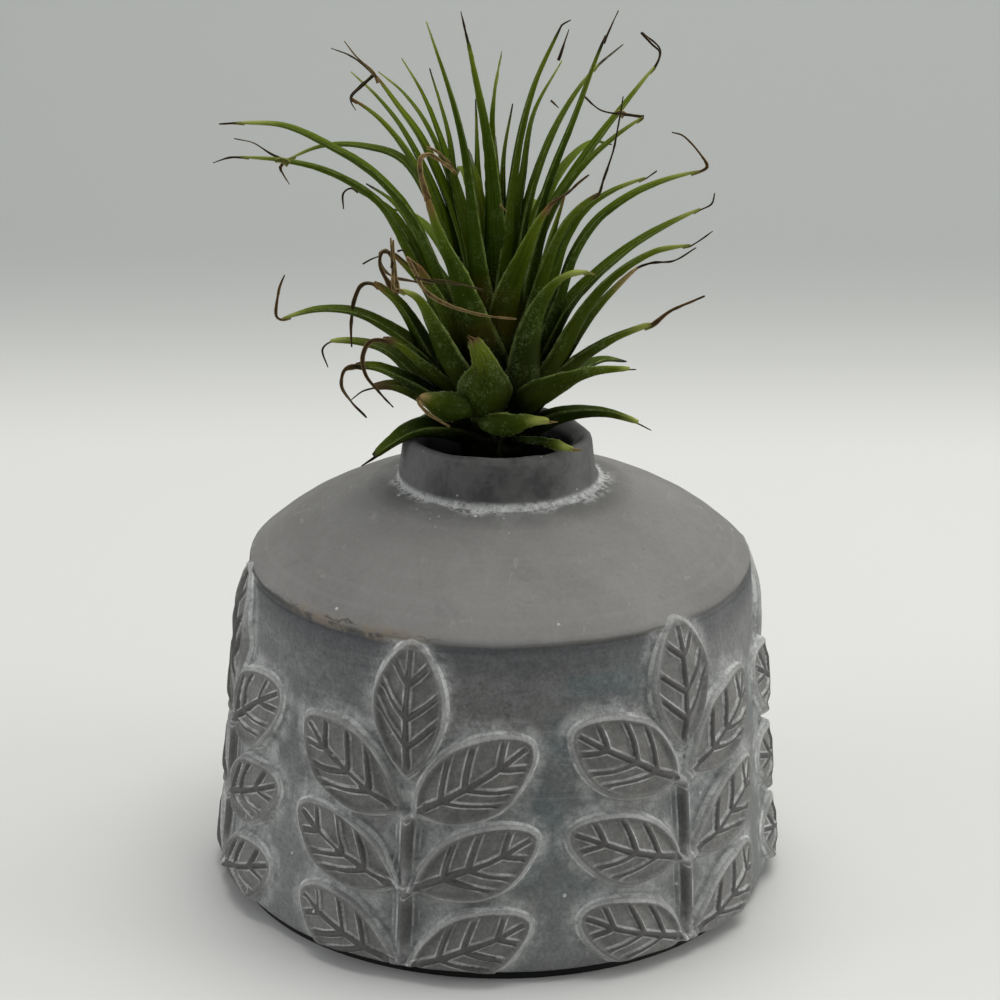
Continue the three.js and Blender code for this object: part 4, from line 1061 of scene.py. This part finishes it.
def bract_tip_path(line, tip):
    before, end = np.array(line[-2:], float)[:, :3]
    back = end + (before - end) * 1.5 / np.linalg.norm(end - before)
    return spline([np.array(p) + (0, 0, RIM_Z) for p in (back, end, *tip)])


# A dry strip's cross section: two arms from a fold, seen end on
FOLD = np.array([
    (-1, 0.55), (-0.55, 0.05), (0, -0.45), (0.55, 0.05), (1, 0.55),
    (0.86, 0.75), (0.36, 0.32), (0, 0.05), (-0.36, 0.32), (-0.86, 0.75),
])


def strip(body, path, wide, thins, near, far, seed):
    """A folded dry strip along a path, with its colour at the near and the far end."""
    count = int(np.clip(run_of(path).sum() / 0.45, 10, 90))
    points, tangents, along = stations(path, count)
    u = along / along[-1]

    def wobble(scale):
        return noise(np.stack([along * scale, along * 0 + seed, along * 0], -1), 1.0)

    one = unit(np.cross(tangents, (0.12, 0.96, 0.25)))
    two = np.cross(tangents, one)
    twist = np.radians(50 * wobble(0.22))[:, None]
    one, two = one * np.cos(twist) + two * np.sin(twist), two * np.cos(twist) - one * np.sin(twist)
    half = (0.5 * wide * (1 - thins * u ** 1.5) + 0.05) * (1 + 0.28 * wobble(0.8))
    spread = half[:, None, None] * FOLD
    rings = points[:, None] + one[:, None] * spread[..., :1] + two[:, None] * spread[..., 1:]
    edge = np.broadcast_to(np.abs(FOLD[:, 0]), (count, len(FOLD)))
    amount = smooth(0.0, 2.5, along)[:, None, None]
    tone = np.array(TURNED[near]) * (1 - amount) + np.array(TURNED[far]) * amount
    late = smooth(0.7, 1.0, u)[:, None, None] * (far in ("brown", "rust"))
    body.tube(rings, tone=np.broadcast_to(tone * (1 - 0.7 * late), (*edge.shape, 3)), edge=edge)


def rosette():
    body = Body("turned", "amount", "along", "across", "inner", "fuzz", "tint", "deep", "above")
    tips = Body("tone", "edge")
    draw = np.random.default_rng(SEED + 1)
    blades = []
    for number, row in enumerate([*LEAVES, *back_leaves()]):
        leaf = Leaf(*row)
        sections = leaf_sections(leaf, draw.uniform(-1, 1, 2))
        blades.append((sections, number / 10, leaf.colour, leaf.turned, 0.0))
        if leaf.tip:
            wide = leaf.tip_width * THIN[leaf.tip_colour]
            strip(tips, tip_path(leaf), wide, TIP_THINS, leaf.colour, leaf.tip_colour, number * 1.7)
    for number, (line, face, tip, wide, near, far, span, dark) in enumerate(BRACTS):
        blades.append((bract_sections(line, face), 8 + number / 10, near, span, dark))
        strip(tips, bract_tip_path(line, tip), wide * THIN[far], TIP_THINS, near, far, 70 + number * 1.7)
    hairs = []
    for number, (sections, ripple, colour, span, dark) in enumerate(blades):
        tint = draw.uniform(-1, 1)
        rings = blade_rings(*sections, ripple)
        along = sections[-1]
        u = along / along[-1]
        amount = turned_share(span, rings, along, number * 3.1)
        shape = rings.shape[:2]
        above = rings[..., 2] - RIM_Z
        low = smooth(62, 18, above) * (0.5 + 0.5 * smooth(4, 18, above))
        fuzz = np.clip(0.25 + 0.75 * low, 0, 1) * (1 - 0.6 * amount)
        heart = np.hypot(rings[..., 0] - PLANT_X, rings[..., 1])
        reach = np.hypot(rings[..., 0], rings[..., 1])
        # deep: where the leaves are painted near-black as shade, in the heart of the rosette, low at the rim,
        # and on the dark share of the short front leaves
        deep = smooth(15, 8, heart) * smooth(28, 6, above)
        deep = np.maximum(deep, smooth(1.5, -2.5, above) * smooth(16, 11, reach))
        deep = np.maximum(deep, smooth(dark, 0.3 * dark, u)[:, None]) if dark else deep
        body.tube(
            rings, turned=np.broadcast_to(TURNED[colour], (*shape, 3)), amount=amount,
            along=np.broadcast_to(u[:, None], shape), across=np.broadcast_to(ACROSS, shape),
            inner=np.broadcast_to(IS_INNER, shape), fuzz=fuzz, tint=tint, deep=deep, above=above,
        )
        hairs.append((rings, fuzz * (1 - deep)))
    for number, (colour, wide, thins, line) in enumerate(THREADS):
        path = spline([(x, y, RIM_Z + h) for x, y, h in line])
        strip(tips, path, wide, thins, colour, colour, 90 + number * 1.3)
    path = spline(STEM, 5)[1:-1]
    turn = np.linspace(0, 2 * math.pi, 40, endpoint=False)
    r = np.maximum(path[:, 0:1], 0.05)
    core = Body("deep")
    core.tube(np.stack(np.broadcast_arrays(
        PLANT_X + r * np.sin(turn), -r * np.cos(turn), RIM_Z + path[:, 1:2]), -1), deep=1.0)
    pieces = (
        body.object("leaves", leaf_material()),
        tips.object("dried_tips", dry_material()),
        core.object("stem", stem_material()),
        make_hairs(hairs),
    )
    for thing in pieces:
        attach(thing, "root")
        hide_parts("rosette")


def make_hairs(leaves):
    """Short pale hairs on the leaves, thickest along their edges and low on the rosette."""
    draw = np.random.default_rng(SEED + 2)
    starts, outs = [], []
    total = sum(len(rings) for rings, _ in leaves)
    for rings, fuzz in leaves:
        count = int(HAIRS * len(rings) / total)
        i = draw.integers(1, len(rings) - 2, count)
        on_edge = draw.random(count) < 0.58
        j = np.where(on_edge, draw.choice([0, 10], count), draw.integers(0, len(ACROSS), count))
        f = draw.random(count)[:, None]
        k = (j + 1) % len(ACROSS)
        g = np.where(on_edge, 0.0, draw.random(count))[:, None]
        here = (rings[i, j] * (1 - f) + rings[i + 1, j] * f) * (1 - g)
        here = here + (rings[i, k] * (1 - f) + rings[i + 1, k] * f) * g
        keep = draw.random(count) < fuzz[i, j] * 0.9 + 0.1
        out = unit(here - rings[i].mean(1), 1e-9)
        forward = unit(rings[i + 1, j] - rings[i, j], 1e-9)
        way = unit(out + 0.55 * forward + draw.normal(0, 0.35, out.shape))
        starts.append(here[keep])
        outs.append(way[keep])
    start, way = np.vstack(starts), np.vstack(outs)
    count = len(start)
    long = draw.uniform(*HAIR_LONG, count)[:, None]
    wide = draw.uniform(*HAIR_WIDE, count)[:, None]
    side = unit(np.cross(way, draw.normal(0, 1, way.shape)))
    other = np.cross(way, side)
    root = start - way * 0.08
    corners = [root + wide * (side * math.cos(a) + other * math.sin(a)) for a in (0, 2.094, 4.189)]
    points = np.stack([*corners, start + way * long], 1).reshape(-1, 3)
    base = np.arange(count)[:, None] * 4
    faces = np.concatenate([base + corner for corner in ([0, 1, 3], [1, 2, 3], [2, 0, 3], [2, 1, 0])])
    thing = new_mesh("leaf_hairs", points, faces.tolist(), shade=False)
    t = Tree("pale_hairs")
    colour = t.mix(t.noise(t.here, 700, 1), (0.20, 0.25, 0.11), (0.42, 0.47, 0.29))
    thing.data.materials.append(t.finish(colour, 0.7, 0.2))
    return thing


def leaf_material():
    t = Tree("leaf")
    along, across, inner, fuzz, tint, deep, amount, above = t.attributes(
        "along across inner fuzz tint deep amount above")
    grid = {"X": t.times(across, 7.0), "Y": t.times(along, 5.0), "Z": t.times(tint, 9.0)}
    lengthwise = t.noise(t.add("ShaderNodeCombineXYZ", grid).outputs[0], 1.0, 3)
    # green darker low in the rosette and lighter higher up, partly the leaves' own tone, partly painted shade
    # low down and painted light up high; the outer face darker than the inner, partly its own tone, partly
    # painted shade
    outer = t.mix(t.step(above, 12.0, 42.0), (0.0058, 0.0112, 0.0002), (0.027, 0.052, 0.0008))
    inside = t.mix(t.step(above, 11.0, 36.0), (0.017, 0.030, 0.0006), (0.056, 0.090, 0.0022))
    # red-brown flush on the inner sheaths in front
    heart = t.add("ShaderNodeVectorMath", {0: t.here, 1: (-0.0035, -0.004, 0.110)}, operation="DISTANCE")
    flush = t.step(heart.outputs["Value"], 0.0095, 0.0035)
    # pale scales and dust, thickest near the edges
    side = t.absolute(across)
    patch = t.spots(190, 3, 0.42, 0.62, rough=0.6)
    scaly = t.times(t.dots(3400, 0.36, 0.14), patch, fuzz, t.step(side, 0.25, 0.95, 0.35, 1.0))
    colour = t.layers(
        t.mix(inner, outer, inside),
        ((0.130, 0.170, 0.010), t.step(along, 0.66, 1.0), t.step(above, 4.0, 24.0, 0.40, 1.0)),
        ((0.040, 0.064, 0.0018), t.spots(70, 3, 0.35, 0.7), 0.3),
        ((0.085, 0.110, 0.004), t.step(tint, -1.0, 1.0, 0.0, 0.26), t.step(above, 4.0, 20.0, 0.3, 1.0)),
        ((0.012, 0.021, 0.0005), t.step(lengthwise, 0.42, 0.68), 0.50),
        ((0.072, 0.034, 0.0022), flush, t.spots(130, 3, 0.36, 0.66, 0.05, 0.7)),
        ((0.040, 0.024, 0.002), t.step(along, 0.28, 0.08), t.spots(95, 2, 0.45, 0.65, 0.0, 0.45)),
        ((0.180, 0.235, 0.065), t.step(side, 0.86, 1.0), t.spots(420, 3, 0.35, 0.6, 0.20, 0.80, 0.7)),
        ((0.085, 0.125, 0.036), t.spots(1300, 4, 0.48, 0.64, rough=0.7), patch, fuzz, 0.60),
        ((0.26, 0.32, 0.15), scaly, 0.72),
        # near-black where deep: painted shade
        ((0.0020, 0.0024, 0.0004), deep, 0.96),
        (t.attribute("turned", "Color"), amount),
    )
    small = t.noise(t.here, 620, 4, 0.6)
    height = t.plus(t.times(small, 0.5), t.times(scaly, 0.6), t.times(lengthwise, 1.2))
    return t.finish(colour, t.step(fuzz, 0.0, 1.0, 0.42, 0.60), 0.04, height, 0.00010, 0.6)


def dry_material():
    t = Tree("dry_leaf")
    tone = t.attribute("tone", "Color")
    streak = t.noise(t.here, 900, 3)
    dark = t.mix(t.step(streak, 0.3, 0.7, 0.25, 0.80), tone, (0.024, 0.016, 0.008))
    light = t.mix(0.34, tone, (0.46, 0.34, 0.15))
    colour = t.mix(t.times(t.step(t.attribute("edge"), 0.5, 1.0), 0.8), dark, light)
    return t.finish(colour, 0.62, 0.06, streak, 0.0001, 0.5)


def stem_material():
    t = Tree("stem")
    fibre = t.noise(t.stretched(300, 300, 90), 1.0, 4)
    # near-black with fibre streaks: painted shade in the heart of the rosette
    colour = t.mix(fibre, (0.0016, 0.0018, 0.0004), (0.0060, 0.0050, 0.0010))
    return t.finish(colour, 0.8, 0.2, fibre, 0.0003, 0.7)


make_camera()
make_lights()
make_backdrop()
vase()
rosette()
